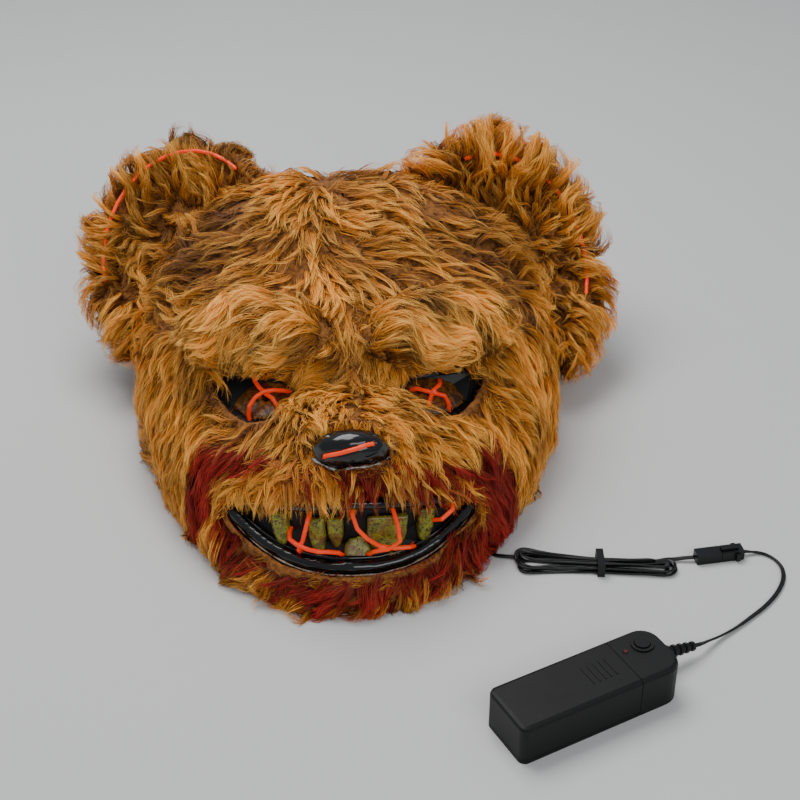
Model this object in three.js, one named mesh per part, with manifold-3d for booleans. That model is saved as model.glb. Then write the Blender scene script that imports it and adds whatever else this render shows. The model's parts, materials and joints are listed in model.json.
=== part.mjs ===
// Furry bear mask lying on its rim, with its light wires, their lead and a battery case.
// Millimetres and degrees, +Z up. The mask is shaped in its own frame, then laid down:
// x across the face, y from the face to the back of the head, z from the chin to the ears.
import * as THREE from 'three';
import { mergeVertices } from 'three/addons/utils/BufferGeometryUtils.js';
import Module from 'manifold-3d';

const wasm = await Module();
wasm.setup();

// Clearance between pieces that touch
const GAP = 0.3;

// How the mask lies: its own up axis above the floor, its turn, and where its own origin stands
const TILT = 37;
const TURN = 2.6;
const MASK_X = -28.5;
const MASK_Y = 741;

// The moulded face, without its fur
const HALF_WIDTH = 118;
const CROWN_HEIGHT = 152;
const CHIN_DROP = 126;
const WALL_DEPTH = 95;
const FACE_WALL = 2;
const FRONT_DEPTH = 10;
const MUZZLE_REACH = 42;
const TOP_RIM_DEPTH = 165;
const RIM_CLEARANCE = 1;
const SPOKES = 26;
const RINGS = 7;

// The fur coat and its locks
const FUR = 12;
const LOCK_THICKNESS = 5;
const LOCK_ROOT = 4;

// Brows
const BROW_HALF_LENGTH = 50;
const BROW_HALF_DEPTH = 19;
const BROW_HALF_HEIGHT = 27;
const BROW_CENTRE_UP = 28;
const BROW_RISE = 12;
const BROW_SWEEP = 14;

// Ears
const EAR_HALF_WIDTH = 69;
const EAR_HALF_HEIGHT = 79;
const EAR_THICKNESS = 30;
const EAR_BACK = 98;
const EAR_SWEEP = 18;

// Eyes
const EYE_SPREAD = 45;
const EYE_DROP = 7;
const EYE_RADIUS = 20;
const PUPIL_RADIUS = 3;
const EYE_PROUD = 6;
const EYE_SUNK = 8;

// Nose
const NOSE_DROP = 50;
const NOSE_HALF_WIDTH = 20.5;
const NOSE_HALF_HEIGHT = 10.5;
const NOSE_PROUD = 11;
const NOSTRIL_RADIUS = 4;
const NOSTRIL_SPREAD = 9;

// Mouth: a crescent between two curves that meet at the corners
const MOUTH_HALF_WIDTH = 68;
const MOUTH_CORNER_DROP = 63;
const LOWER_LIP_DROP = 106.5;
const UPPER_LIP_DROP = 76;
const LOWER_LIP_RADIUS = 4.6;
const UPPER_LIP_RADIUS = 3;
const TOOTH_PROUD = 4;
const TOOTH_SUNK = 3;

// Light wire
const WIRE_RADIUS = 1.25;
const WIRE_ROOM = 0.45;
const WIRE_CLEAR = 1;
const LOOP_DEPTH = 3;

// Twin lead, hank and connector
const LEAD_RADIUS = 1.3;
const HANK_HEIGHT = 7;
const HANK_LIFT = 1.3;
const TIE_LENGTH = 4;
const TIE_WALL = 0.9;
const PLUG_WIDTH = 7.4;
const PLUG_HEIGHT = 6;

// Elastic band across the open back
const STRAP_WIDTH = 20;
const STRAP_THICKNESS = 1.2;
const STRAP_END_HEIGHT = 15;
const STRAP_UP = 35;

// Battery case
const CASE_X = 91.5;
const CASE_Y = 570.8;
const CASE_TURN = 29;
const CASE_LENGTH = 95;
const CASE_WIDTH = 33;
const CASE_HEIGHT = 23;
const CASE_CORNER = 4;
const CASE_END_CORNER = 10;
const CASE_EDGE = 2.2;
const HEAD_LENGTH = 26;
const COVER_WALL = 1.7;
const TRAY_FLOOR = 2;
const TRAY_WALL = 1.5;
const TRAY_HEIGHT = 14;
const BUTTON_FROM_END = 11;
const BUTTON_Y = 5.5;
const BUTTON_RADIUS = 4;
const BUTTON_PROUD = 1.5;
const BUTTON_DEPTH = 4;
const BUTTON_TRAVEL_ROOM = 1.6;
const BEZEL_RADIUS = 6;
const BEZEL_PROUD = 0.8;
const LED_FROM_SEAM = 4.5;
const LED_Y = 5;
const LED_RADIUS = 1.2;
const LED_DEPTH = 1.7;
const LED_PROUD = 0.4;
const RELIEF_Y = 5;
const RELIEF_LENGTH = 22;
const RELIEF_RADIUS = 3.6;
const RELIEF_RISE = 11;
const RELIEF_RIBS = 5;
const RELIEF_FOOT = 2;
const RELIEF_DROOP = 10;

const paint = (color, roughness, metalness = 0) =>
  new THREE.MeshStandardMaterial({ color, roughness, metalness });
const FUR_BROWN = paint(0xa9702c, 0.95);
const BROW_BROWN = paint(0xb57d36, 0.95);
const SHELL_BLACK = paint(0x14130f, 0.35);
const GLOSS_BLACK = paint(0x0b0b0c, 0.15);
const TOOTH_OLIVE = paint(0x6c6a1e, 0.4);
const EYE_OCHRE = paint(0x8a6a1c, 0.4);
const LIGHT_ORANGE = paint(0xff5a1e, 0.45);
const CASE_BLACK = paint(0x1b1b1c, 0.55);
const LEAD_BLACK = paint(0x111112, 0.5);
const STRAP_GREY = paint(0x202020, 0.9);
const LED_RED = paint(0x6a2a24, 0.3);

const rad = THREE.MathUtils.degToRad;
const lerp = THREE.MathUtils.lerp;

// A closed geometry becomes a solid, and back
function solidOf(geometry) {
  const bare = geometry.clone();
  for (const name of Object.keys(bare.attributes)) {
    if (name !== 'position') bare.deleteAttribute(name);
  }
  const merged = mergeVertices(bare, 1e-4);
  return new wasm.Manifold(new wasm.Mesh({
    numProp: 3,
    vertProperties: Float32Array.from(merged.attributes.position.array),
    triVerts: Uint32Array.from(merged.index.array),
  }));
}

function geometryOf(solid) {
  const mesh = solid.getMesh();
  const geometry = new THREE.BufferGeometry();
  geometry.setAttribute('position', new THREE.BufferAttribute(Float32Array.from(mesh.vertProperties), 3));
  geometry.setIndex(Array.from(mesh.triVerts));
  return geometry;
}

function piece(name, geometry, material) {
  const mesh = new THREE.Mesh(geometry, material);
  mesh.name = name;
  return mesh;
}

const unite = (solids) => solids.reduce((whole, next) => whole.add(next));

// A tube of a round or oval section along a smooth line through the points
function tube(points, radius, steps, sides, flat = 1) {
  const section = new THREE.Shape();
  for (let i = 0; i < sides; i++) {
    const angle = ((i + 0.5) / sides) * 2 * Math.PI;
    const x = radius * Math.cos(angle);
    const y = radius * flat * Math.sin(angle);
    if (i === 0) section.moveTo(x, y);
    else section.lineTo(x, y);
  }
  section.closePath();
  const path = new THREE.CatmullRomCurve3(points, false, 'centripetal');
  return new THREE.ExtrudeGeometry(section, { steps, extrudePath: path, bevelEnabled: false });
}

// The moulded face: its rim outline, as shares of the half width, the height and the wall depth
const OUTLINE = [
  { x: 0.0, up: -1.0, depth: 0.08 },
  { x: 0.21, up: -0.976, depth: 0.1 },
  { x: 0.407, up: -0.897, depth: 0.18 },
  { x: 0.644, up: -0.635, depth: 0.42 },
  { x: 0.885, up: -0.238, depth: 0.79 },
  { x: 1.0, up: 0.066, depth: 1.0 },
  { x: 0.993, up: 0.395, depth: 1.0 },
  { x: 0.845, up: 0.737, depth: 0.93 },
  { x: 0.509, up: 0.941, depth: 0.82 },
  { x: 0.0, up: 1.0, depth: 0.79 },
];

// Swellings and dents of the face: centre and reach as shares of the half width,
// push forward as a share of the muzzle's reach
const RELIEF = [
  { form: 'muzzle', x: 0, up: -0.46, wide: 0.36, tall: 0.26, push: 1.0 },
  { form: 'muzzle base', x: 0, up: -0.56, wide: 0.62, tall: 0.36, push: 0.3 },
  { form: 'chin', x: 0, up: -0.98, wide: 0.34, tall: 0.14, push: 0.22 },
  { form: 'brow', x: 0, up: 0.22, wide: 0.55, tall: 0.2, push: 0.2 },
  { form: 'left cheek', x: -0.6, up: -0.36, wide: 0.24, tall: 0.24, push: 0.24 },
  { form: 'right cheek', x: 0.6, up: -0.36, wide: 0.24, tall: 0.24, push: 0.24 },
  { form: 'left socket', x: -0.38, up: -0.05, wide: 0.2, tall: 0.12, push: -0.16 },
  { form: 'right socket', x: 0.38, up: -0.05, wide: 0.2, tall: 0.12, push: -0.16 },
  { form: 'mouth', x: 0, up: -0.76, wide: 0.34, tall: 0.1, push: -0.14 },
];

const DOME_POWER = 3.2;
const DOME_ROOT = 0.4;
const RING_CROWDING = 1.6;
const SKIRT = 30;
const OUTLINE_SAMPLES = 360;

function outlinePoint(row, side) {
  const height = row.up < 0 ? CHIN_DROP : CROWN_HEIGHT;
  return new THREE.Vector3(side * row.x * HALF_WIDTH, row.depth * WALL_DEPTH, row.up * height);
}

const rightSide = OUTLINE.map((row) => outlinePoint(row, 1));
const leftSide = OUTLINE.slice(1, -1).reverse().map((row) => outlinePoint(row, -1));
const outlineCurve = new THREE.CatmullRomCurve3([...rightSide, ...leftSide], true, 'centripetal');
const outlineTable = outlineCurve.getPoints(OUTLINE_SAMPLES).slice(0, -1).map((point) => ({
  turn: Math.atan2(point.x, -point.z),
  reach: Math.hypot(point.x, point.z),
  depth: point.y,
})).sort((a, b) => a.turn - b.turn);

// The rim in one direction: its distance from the middle and its depth. Turn 0 is the chin.
function rimAt(turn) {
  const full = 2 * Math.PI;
  const wrapped = turn - full * Math.round(turn / full);
  const next = outlineTable.findIndex((row) => row.turn >= wrapped);
  const after = next < 0 ? 0 : next;
  const b = outlineTable[after];
  const a = outlineTable[(after + OUTLINE_SAMPLES - 1) % OUTLINE_SAMPLES];
  const span = (b.turn - a.turn + full) % full;
  const share = span === 0 ? 0 : ((wrapped - a.turn + full) % full) / span;
  return { reach: lerp(a.reach, b.reach, share), depth: lerp(a.depth, b.depth, share) };
}

function faceDepth(x, z) {
  let depth = FRONT_DEPTH;
  for (const row of RELIEF) {
    const across = (x - row.x * HALF_WIDTH) / (row.wide * HALF_WIDTH);
    const along = (z - row.up * HALF_WIDTH) / (row.tall * HALF_WIDTH);
    depth -= row.push * MUZZLE_REACH * Math.exp(-across * across - along * along);
  }
  return depth;
}

// A point of the smooth mould, from its place across and up the face
function mouldPoint(x, z) {
  const rim = rimAt(Math.atan2(x, -z));
  const share = Math.min(1, Math.hypot(x, z) / rim.reach);
  const dome = 1 - (1 - share ** DOME_POWER) ** DOME_ROOT;
  return new THREE.Vector3(x, lerp(faceDepth(x, z), rim.depth, dome), z);
}

function faceNormal(x, z) {
  const step = 1;
  const across = mouldPoint(x + step, z).sub(mouldPoint(x - step, z));
  const along = mouldPoint(x, z + step).sub(mouldPoint(x, z - step));
  return across.cross(along).normalize();
}

// The grid of the moulded surface: one column per spoke, one row per ring, then the skirt
const ringShare = (ring) => 1 - (1 - ring / RINGS) ** RING_CROWDING;

function gridPoint(spoke, ring, backEnd) {
  const turn = (spoke / SPOKES) * 2 * Math.PI;
  const rim = rimAt(turn);
  const reach = rim.reach * (ring > RINGS ? 1 : ringShare(ring));
  const x = Math.sin(turn) * reach;
  const z = -Math.cos(turn) * reach;
  if (ring > RINGS) return new THREE.Vector3(x, backEnd, z);
  return mouldPoint(x, z);
}

function gridNormal(spoke, ring, backEnd) {
  const around = gridPoint(spoke + 1, ring, backEnd).sub(gridPoint(spoke - 1, ring, backEnd));
  const inner = gridPoint(spoke, Math.max(ring - 1, 0), backEnd);
  const outward = gridPoint(spoke, Math.min(ring + 1, RINGS + 1), backEnd).sub(inner);
  return outward.cross(around).normalize();
}

// The whole face as a filled block, moved out or in along its surface
function faceBody(lift, backEnd) {
  const middle = new THREE.Vector3(0, faceDepth(0, 0) - lift, 0);
  const points = [middle];
  for (let ring = 1; ring <= RINGS + 1; ring++) {
    for (let spoke = 0; spoke < SPOKES; spoke++) {
      const base = gridPoint(spoke, ring, backEnd);
      points.push(base.addScaledVector(gridNormal(spoke, ring, backEnd), lift));
    }
  }
  const backMiddle = points.length;
  points.push(new THREE.Vector3(0, backEnd, 0));
  const faces = [];
  const at = (spoke, ring) => 1 + (ring - 1) * SPOKES + (spoke % SPOKES);
  for (let spoke = 0; spoke < SPOKES; spoke++) {
    faces.push(0, at(spoke, 1), at(spoke + 1, 1));
    for (let ring = 1; ring <= RINGS; ring++) {
      faces.push(at(spoke, ring), at(spoke, ring + 1), at(spoke + 1, ring + 1));
      faces.push(at(spoke, ring), at(spoke + 1, ring + 1), at(spoke + 1, ring));
    }
    faces.push(backMiddle, at(spoke + 1, RINGS + 1), at(spoke, RINGS + 1));
  }
  return facetedBody(points, faces);
}

const faceBlock = (lift, backEnd) => solidOf(faceBody(lift, backEnd));

// A closed body from points and triangles, turned so that its faces point out
function facetedBody(points, faces) {
  let volume = 0;
  for (let i = 0; i < faces.length; i += 3) {
    const [a, b, c] = [points[faces[i]], points[faces[i + 1]], points[faces[i + 2]]];
    volume += a.dot(b.clone().cross(c));
  }
  const geometry = new THREE.BufferGeometry().setFromPoints(points);
  geometry.setIndex(volume < 0 ? faces.toReversed() : faces);
  return geometry;
}

// A point on the face as it is built, with its facets, and a point at a lift above it
const backEnd = TOP_RIM_DEPTH + SKIRT;
const bothSides = new THREE.MeshBasicMaterial({ side: THREE.DoubleSide });
const builtFace = new THREE.Mesh(faceBody(0, backEnd), bothSides);
const probe = new THREE.Raycaster();
function facePoint(x, z) {
  const start = new THREE.Vector3(x, -2 * MUZZLE_REACH, z);
  probe.set(start, new THREE.Vector3(0, 1, 0));
  const [hit] = probe.intersectObject(builtFace);
  return hit ? hit.point : mouldPoint(x, z);
}

function onFace(x, z, lift) {
  return facePoint(x, z).addScaledVector(faceNormal(x, z), lift);
}

// The mask's frame as it lies, and back
const furChin = new THREE.Vector3(0, 0, -(CHIN_DROP + FUR));
const tiltTurn = new THREE.Matrix4().makeRotationX(rad(TILT - 90));
const lyingTurn = new THREE.Matrix4().makeRotationZ(rad(TURN));
const maskLift = -furChin.clone().applyMatrix4(tiltTurn).z;
const maskPlace = new THREE.Matrix4().makeTranslation(MASK_X, MASK_Y, maskLift)
  .multiply(lyingTurn).multiply(tiltTurn);
const toMask = maskPlace.clone().invert();
const toTilted = new THREE.Matrix4().makeTranslation(0, 0, maskLift).multiply(tiltTurn).invert();

// All that lies below the floor, and all that is behind the top rim
const BIG = 900;
function belowFloor(raise) {
  const block = new THREE.BoxGeometry(BIG, BIG, BIG);
  block.translate(0, 0, raise - BIG / 2);
  return solidOf(block.applyMatrix4(toTilted));
}

function behindTopRim(advance) {
  const block = new THREE.BoxGeometry(BIG, BIG, BIG);
  return solidOf(block.translate(0, TOP_RIM_DEPTH - advance + BIG / 2, 0));
}

const trim = (solid, raise) => solid.subtract(belowFloor(raise)).subtract(behindTopRim(raise));

// The mouth's two curves, at a share of its half width from -1 to 1
const LOWER_CURVE = 2.35;
const UPPER_CURVE = 2;
const lowerLipUp = (share) =>
  -LOWER_LIP_DROP + (LOWER_LIP_DROP - MOUTH_CORNER_DROP) * Math.abs(share) ** LOWER_CURVE;
const upperLipUp = (share) =>
  -UPPER_LIP_DROP + (UPPER_LIP_DROP - MOUTH_CORNER_DROP) * Math.abs(share) ** UPPER_CURVE;

function lipLine(curve, reach, lift, count) {
  const line = [];
  for (let i = 0; i <= count; i++) {
    const share = reach * ((2 * i) / count - 1);
    line.push(onFace(share * MOUTH_HALF_WIDTH, curve(share), lift));
  }
  return line;
}

const LIP_FLAT = 0.85;
const UPPER_LIP_REACH = 0.84;
const lowerLipLine = lipLine(lowerLipUp, 1, LOWER_LIP_RADIUS * 0.6, 12);
const upperLipLine = lipLine(upperLipUp, UPPER_LIP_REACH, UPPER_LIP_RADIUS * 0.6, 8);
const lipTubes = (room) => [
  solidOf(tube(lowerLipLine, LOWER_LIP_RADIUS + room, 14, 7, LIP_FLAT)),
  solidOf(tube(upperLipLine, UPPER_LIP_RADIUS + room, 10, 6)),
];

// Openings of the fur coat, cut from front to back
const CUT_FRONT = -90;
const CUT_BACK = 120;
function cutThrough(outline) {
  const shape = new THREE.Shape(outline.map(([x, z]) => new THREE.Vector2(x, z)));
  const cut = new THREE.ExtrudeGeometry(shape, { depth: CUT_BACK - CUT_FRONT, bevelEnabled: false });
  return solidOf(cut.rotateX(Math.PI / 2).translate(0, CUT_BACK, 0));
}

// Eye opening: an almond, as shares of the eye's radius from its middle, outer side positive
const EYE_OPENING = [
  { out: 1.7, up: 1.15 },
  { out: 1.35, up: 0.1 },
  { out: 0.65, up: -0.86 },
  { out: -0.1, up: -0.86 },
  { out: -0.85, up: -0.35 },
  { out: -1.1, up: 0.05 },
  { out: -0.7, up: 0.6 },
  { out: 0.3, up: 0.95 },
];
const eyeOpening = (side) => cutThrough(EYE_OPENING.map((row) => [
  side * (EYE_SPREAD + row.out * EYE_RADIUS),
  -EYE_DROP + row.up * EYE_RADIUS,
]));

const NOSE_ROOM = 1.6;
function noseOpening() {
  const outline = [];
  const corners = 16;
  for (let i = 0; i < corners; i++) {
    const angle = (i / corners) * 2 * Math.PI;
    outline.push([
      (NOSE_HALF_WIDTH + NOSE_ROOM) * Math.cos(angle),
      -NOSE_DROP + (NOSE_HALF_HEIGHT + NOSE_ROOM) * Math.sin(angle),
    ]);
  }
  return cutThrough(outline);
}

function mouthOpening() {
  const steps = 12;
  const outline = [];
  for (let i = 0; i <= steps; i++) {
    const share = (2 * i) / steps - 1;
    const x = share * (MOUTH_HALF_WIDTH + LOWER_LIP_RADIUS);
    outline.push([x, lowerLipUp(share) - LOWER_LIP_RADIUS - GAP]);
  }
  for (let i = steps - 1; i > 0; i--) {
    const share = (2 * i) / steps - 1;
    outline.push([share * MOUTH_HALF_WIDTH, upperLipUp(share) + UPPER_LIP_RADIUS + GAP]);
  }
  return cutThrough(outline);
}

// Whether a place on the face is too close to an opening, a brow or an ear for a lock of fur
const BARE_EDGE = 8;
function keptBare(x, z) {
  const nearEye = Math.hypot((Math.abs(x) - EYE_SPREAD - 4) / 1.5, z + EYE_DROP) < EYE_RADIUS + 6;
  const nearNose = Math.hypot(x / 1.6, z + NOSE_DROP) < NOSE_HALF_HEIGHT + 6;
  const share = Math.min(1, Math.abs(x) / MOUTH_HALF_WIDTH);
  const besideMouth = Math.abs(x) > MOUTH_HALF_WIDTH + BARE_EDGE;
  const inMouth = !besideMouth && z > lowerLipUp(share) - BARE_EDGE && z < upperLipUp(share) + BARE_EDGE;
  const besideBrow = Math.abs(x) > 2 * BROW_HALF_LENGTH + BARE_EDGE;
  const nearBrow = !besideBrow && Math.abs(z - BROW_CENTRE_UP) < BROW_HALF_HEIGHT + 2 * BARE_EDGE;
  const nearEar = Math.abs(x) > 0.3 * HALF_WIDTH && z > 0.1 * CROWN_HEIGHT;
  return nearEye || nearNose || inMouth || nearBrow || nearEar;
}

// Rows of locks round the face: share of the way to the rim, how many, and their size as
// shares of the fur's thickness
const LOCK_ROWS = [
  { reach: 0.66, count: 12, length: 2.2, width: 1.4, lift: 0.33 },
  { reach: 0.8, count: 15, length: 2.3, width: 1.5, lift: 0.42 },
  { reach: 0.92, count: 17, length: 2.2, width: 1.5, lift: 0.5 },
  { reach: 0.985, count: 19, length: 1.8, width: 1.4, lift: 0.58 },
];

// One lock: a flat pointed wedge that grows out of the coat and lies along it
function lock(root, along, out, row) {
  const side = along.clone().cross(out).normalize();
  const length = row.length * FUR;
  const width = row.width * FUR;
  const lift = row.lift * FUR;
  const points = [];
  const sections = [
    { at: -0.1, wide: 0.35, rise: -LOCK_ROOT },
    { at: 0.35, wide: 0.5, rise: lift * 0.4 },
  ];
  for (const section of sections) {
    const centre = root.clone().addScaledVector(along, section.at * length);
    centre.addScaledVector(out, section.rise);
    points.push(centre.clone().addScaledVector(side, section.wide * width));
    points.push(centre.clone().addScaledVector(out, LOCK_THICKNESS / 2));
    points.push(centre.clone().addScaledVector(side, -section.wide * width));
    points.push(centre.clone().addScaledVector(out, -LOCK_THICKNESS / 2));
  }
  points.push(root.clone().addScaledVector(along, length).addScaledVector(out, lift));
  const faces = [0, 1, 2, 0, 2, 3];
  for (let i = 0; i < 4; i++) {
    const j = (i + 1) % 4;
    faces.push(i, 4 + i, 4 + j, i, 4 + j, j);
    faces.push(4 + i, 8, 4 + j);
  }
  return solidOf(facetedBody(points, faces));
}

function furLocks() {
  const locks = [];
  LOCK_ROWS.forEach((row, index) => {
    for (let i = 0; i < row.count; i++) {
      const turn = ((i + 0.5 * (index % 2)) / row.count) * 2 * Math.PI;
      const reach = rimAt(turn).reach * row.reach;
      const x = Math.sin(turn) * reach;
      const z = -Math.cos(turn) * reach;
      const tip = (reach + row.length * FUR * 0.8) / reach;
      if (keptBare(x, z) || keptBare(x * tip, z * tip)) continue;
      const out = faceNormal(x, z);
      const ahead = facePoint(x * 1.01, z * 1.01).sub(facePoint(x * 0.99, z * 0.99));
      const along = ahead.addScaledVector(out, -ahead.dot(out)).normalize();
      locks.push(lock(onFace(x, z, FUR - 1), along, out, row));
    }
  });
  return locks;
}

// Places on the face: round an eye, on the nose, and between the lips, as shares of their sizes
const eyePlace = (side) => (out, up) =>
  [side * (EYE_SPREAD + out * EYE_RADIUS), -EYE_DROP + up * EYE_RADIUS];
const nosePlace = (across, up) => [across * NOSE_HALF_WIDTH, -NOSE_DROP + up * NOSE_HALF_HEIGHT];
const mouthPlace = (across, down) =>
  [across * MOUTH_HALF_WIDTH, lerp(upperLipUp(across), lowerLipUp(across), down)];

// Light wires: each point's place across and up or down, and its lift above the moulded surface.
// A negative lift is behind the face, so each wire is laced through it.
const FRONT = EYE_PROUD + WIRE_RADIUS + WIRE_CLEAR;
const OVER = FRONT + 2 * WIRE_RADIUS + WIRE_CLEAR / 2;
const BEHIND = -(FACE_WALL + WIRE_RADIUS + WIRE_CLEAR);
const DEEP = BEHIND - LOOP_DEPTH;
const NOSE_FRONT = NOSE_PROUD - WIRE_CLEAR / 2;
const NOSE_SIDE = NOSE_PROUD - 2 * WIRE_CLEAR;
const WIRES = [
  {
    name: 'el_wire_eye_left',
    place: eyePlace(-1),
    steps: 19,
    points: [
      [0.35, 0.8, BEHIND], [0.3, 0.62, FRONT], [0.0, 0.05, FRONT + WIRE_CLEAR],
      [-0.27, -0.38, FRONT], [-0.3, -0.52, BEHIND], [0.1, -0.68, DEEP], [0.5, -0.58, BEHIND],
      [0.45, -0.46, FRONT], [0.0, -0.2, OVER + 1.5 * WIRE_CLEAR], [-0.52, 0.18, FRONT], [-0.66, 0.26, BEHIND],
    ],
  },
  {
    name: 'el_wire_eye_right',
    place: eyePlace(1),
    steps: 19,
    points: [
      [-0.58, 0.2, BEHIND], [-0.45, 0.1, FRONT], [-0.05, -0.25, FRONT + WIRE_CLEAR], [0.42, -0.35, FRONT],
      [0.56, -0.38, BEHIND], [0.6, 0.0, DEEP], [0.36, 0.52, BEHIND], [0.26, 0.38, FRONT],
      [0.1, 0.05, OVER + 1.5 * WIRE_CLEAR], [-0.02, -0.3, FRONT], [-0.1, -0.46, BEHIND],
    ],
  },
  {
    name: 'el_wire_nose',
    place: nosePlace,
    steps: 12,
    points: [
      [-0.6, -0.5, BEHIND], [-0.5, -0.55, NOSE_SIDE], [-0.2, -0.55, NOSE_FRONT],
      [0.12, -0.46, NOSE_FRONT], [0.36, -0.32, NOSE_FRONT], [0.46, -0.26, BEHIND],
    ],
  },
  {
    name: 'el_wire_mouth_left',
    place: mouthPlace,
    steps: 19,
    points: [
      [-0.33, 0.06, BEHIND], [-0.33, 0.2, FRONT], [-0.37, 0.48, FRONT + WIRE_CLEAR], [-0.4, 0.72, FRONT],
      [-0.42, 0.8, BEHIND], [-0.48, 0.62, DEEP], [-0.49, 0.42, BEHIND], [-0.46, 0.49, FRONT],
      [-0.29, 0.76, OVER + WIRE_CLEAR / 2], [-0.12, 0.77, FRONT], [-0.06, 0.76, BEHIND],
    ],
  },
  {
    name: 'el_wire_mouth_right',
    place: mouthPlace,
    steps: 29,
    points: [
      [-0.01, 0.04, BEHIND], [0.02, 0.18, FRONT], [0.2, 0.56, OVER], [0.44, 0.77, FRONT],
      [0.48, 0.76, BEHIND], [0.42, 0.4, DEEP], [0.31, 0.04, BEHIND], [0.31, 0.16, FRONT],
      [0.32, 0.5, OVER + LOOP_DEPTH], [0.27, 0.74, OVER + WIRE_CLEAR], [0.14, 0.77, FRONT],
      [0.1, 0.74, BEHIND], [0.36, 0.3, DEEP - LOOP_DEPTH], [0.6, 0.44, BEHIND], [0.63, 0.38, FRONT],
      [0.75, 0.14, FRONT], [0.78, 0.06, BEHIND],
    ],
  },
];

const wireLine = (row) => row.points.map(([across, up, lift]) => onFace(...row.place(across, up), lift));
const wireTube = (row, room) => tube(wireLine(row), WIRE_RADIUS + room, row.steps, 5);

// Ears: their place as shares of the half width and crown height, their size as shares of the ear's
const EARS = [
  { name: 'ear_left', side: -1, x: 0.84, up: 0.82, wide: 0.98, tall: 1.05 },
  { name: 'ear_right', side: 1, x: 0.83, up: 0.73, wide: 1.04, tall: 1.17 },
];

// The ear's section, as shares of its half size and of its thickness, from front middle to back middle
const EAR_SECTION = [
  { out: 0.0, back: 0.12 },
  { out: 0.4, back: 0.08 },
  { out: 0.7, back: -0.22 },
  { out: 0.88, back: -0.48 },
  { out: 1.0, back: -0.2 },
  { out: 0.95, back: 0.28 },
  { out: 0.6, back: 0.5 },
  { out: 0.0, back: 0.55 },
];
const EAR_SPOKES = 20;
const EAR_LOCK_NOTCH = 0.05;
const EAR_LOCK_FROM = 0.85;

function earFrame(ear) {
  return new THREE.Matrix4().makeTranslation(
    ear.side * ear.x * HALF_WIDTH, EAR_BACK, ear.up * CROWN_HEIGHT,
  ).multiply(new THREE.Matrix4().makeRotationZ(rad(ear.side * EAR_SWEEP)));
}

function earBody(ear) {
  const section = EAR_SECTION.map((row) => new THREE.Vector2(row.out, row.back * EAR_THICKNESS));
  const body = new THREE.LatheGeometry(section, EAR_SPOKES);
  const position = body.attributes.position;
  for (let i = 0; i < position.count; i++) {
    const out = Math.hypot(position.getX(i), position.getZ(i));
    const spoke = Math.round((Math.atan2(position.getX(i), position.getZ(i)) / (2 * Math.PI)) * EAR_SPOKES);
    const notch = out > EAR_LOCK_FROM && Math.abs(spoke) % 2 === 1 ? 1 - EAR_LOCK_NOTCH : 1;
    position.setX(i, position.getX(i) * notch * ear.wide * EAR_HALF_WIDTH);
    position.setZ(i, position.getZ(i) * notch * ear.tall * EAR_HALF_HEIGHT);
  }
  return body.applyMatrix4(earFrame(ear));
}

// The wire along the ear's front rim, from one turn to another, turn 0 at the top, outwards positive
const EAR_WIRES = [
  { name: 'el_wire_ear_left', ear: 0, from: -45, to: 105 },
  { name: 'el_wire_ear_right', ear: 1, from: -25, to: 105 },
];
const EAR_WIRE_OUT = 0.79;
const EAR_WIRE_BACK = -0.38;
function earWire(row, room) {
  const ear = EARS[row.ear];
  const points = [];
  const count = 12;
  for (let i = 0; i <= count; i++) {
    const turn = rad(lerp(row.from, row.to, i / count));
    points.push(new THREE.Vector3(
      ear.side * Math.sin(turn) * EAR_WIRE_OUT * ear.wide * EAR_HALF_WIDTH,
      EAR_WIRE_BACK * EAR_THICKNESS,
      Math.cos(turn) * EAR_WIRE_OUT * ear.tall * EAR_HALF_HEIGHT,
    ).applyMatrix4(earFrame(ear)));
  }
  return tube(points, WIRE_RADIUS + room, 14, 5);
}

// The lead's routes, laid on the floor, points chosen by hand
const LEAD_MASK = [
  [40, 712, 14], [40, 711.9, 10.5], [41, 708.5, 5], [44, 702, 1.8],
  [48, 696, 1.4], [51.5, 692, 1.4], [55.5, 688, 1.8], [59.6, 685, 3],
];
const LEAD_PLUG = [
  [147.5, 684.7, 2.4], [151, 685, 2.2], [155.5, 685.2, 2.2], [159.5, 685.4, 2.8], [163.2, 685.2, 3],
];
const LEAD_CASE = [
  [190.4, 690.3, 3], [194, 691, 2.4], [199, 691.2, 1.5], [203.8, 689.5, 1.4], [208.3, 684.6, 1.4],
  [210.2, 677, 1.4], [208.6, 667.5, 1.4], [203.2, 657, 1.4], [195.4, 647, 1.4], [186.5, 638.4, 1.4],
  [177, 630, 1.5], [167.5, 622.4, 2.4], [160.3, 616.6, 4.2], [154.1, 611.3, 6.4], [150.7, 609.35, 7.13],
];
const leadTube = (points, room, steps) =>
  tube(points.map(([x, y, z]) => new THREE.Vector3(x, y, z)), LEAD_RADIUS + room, steps, 6);
const leadRoom = solidOf(leadTube(LEAD_MASK, 0.9, 20).applyMatrix4(toMask));

// The face: shell, coat, and what the coat leaves open
const outerFace = faceBlock(GAP, backEnd + 2);
const innerFace = faceBlock(-FACE_WALL, backEnd + 4);
const furFace = faceBlock(FUR, backEnd);
const furRoom = faceBlock(FUR + GAP, backEnd + 2);
const wireRoom = unite(WIRES.map((row) => solidOf(wireTube(row, WIRE_ROOM))));
const earWireRoom = EAR_WIRES.map((row) => solidOf(earWire(row, WIRE_ROOM)));
const lipRoom = unite(lipTubes(GAP));

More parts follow.
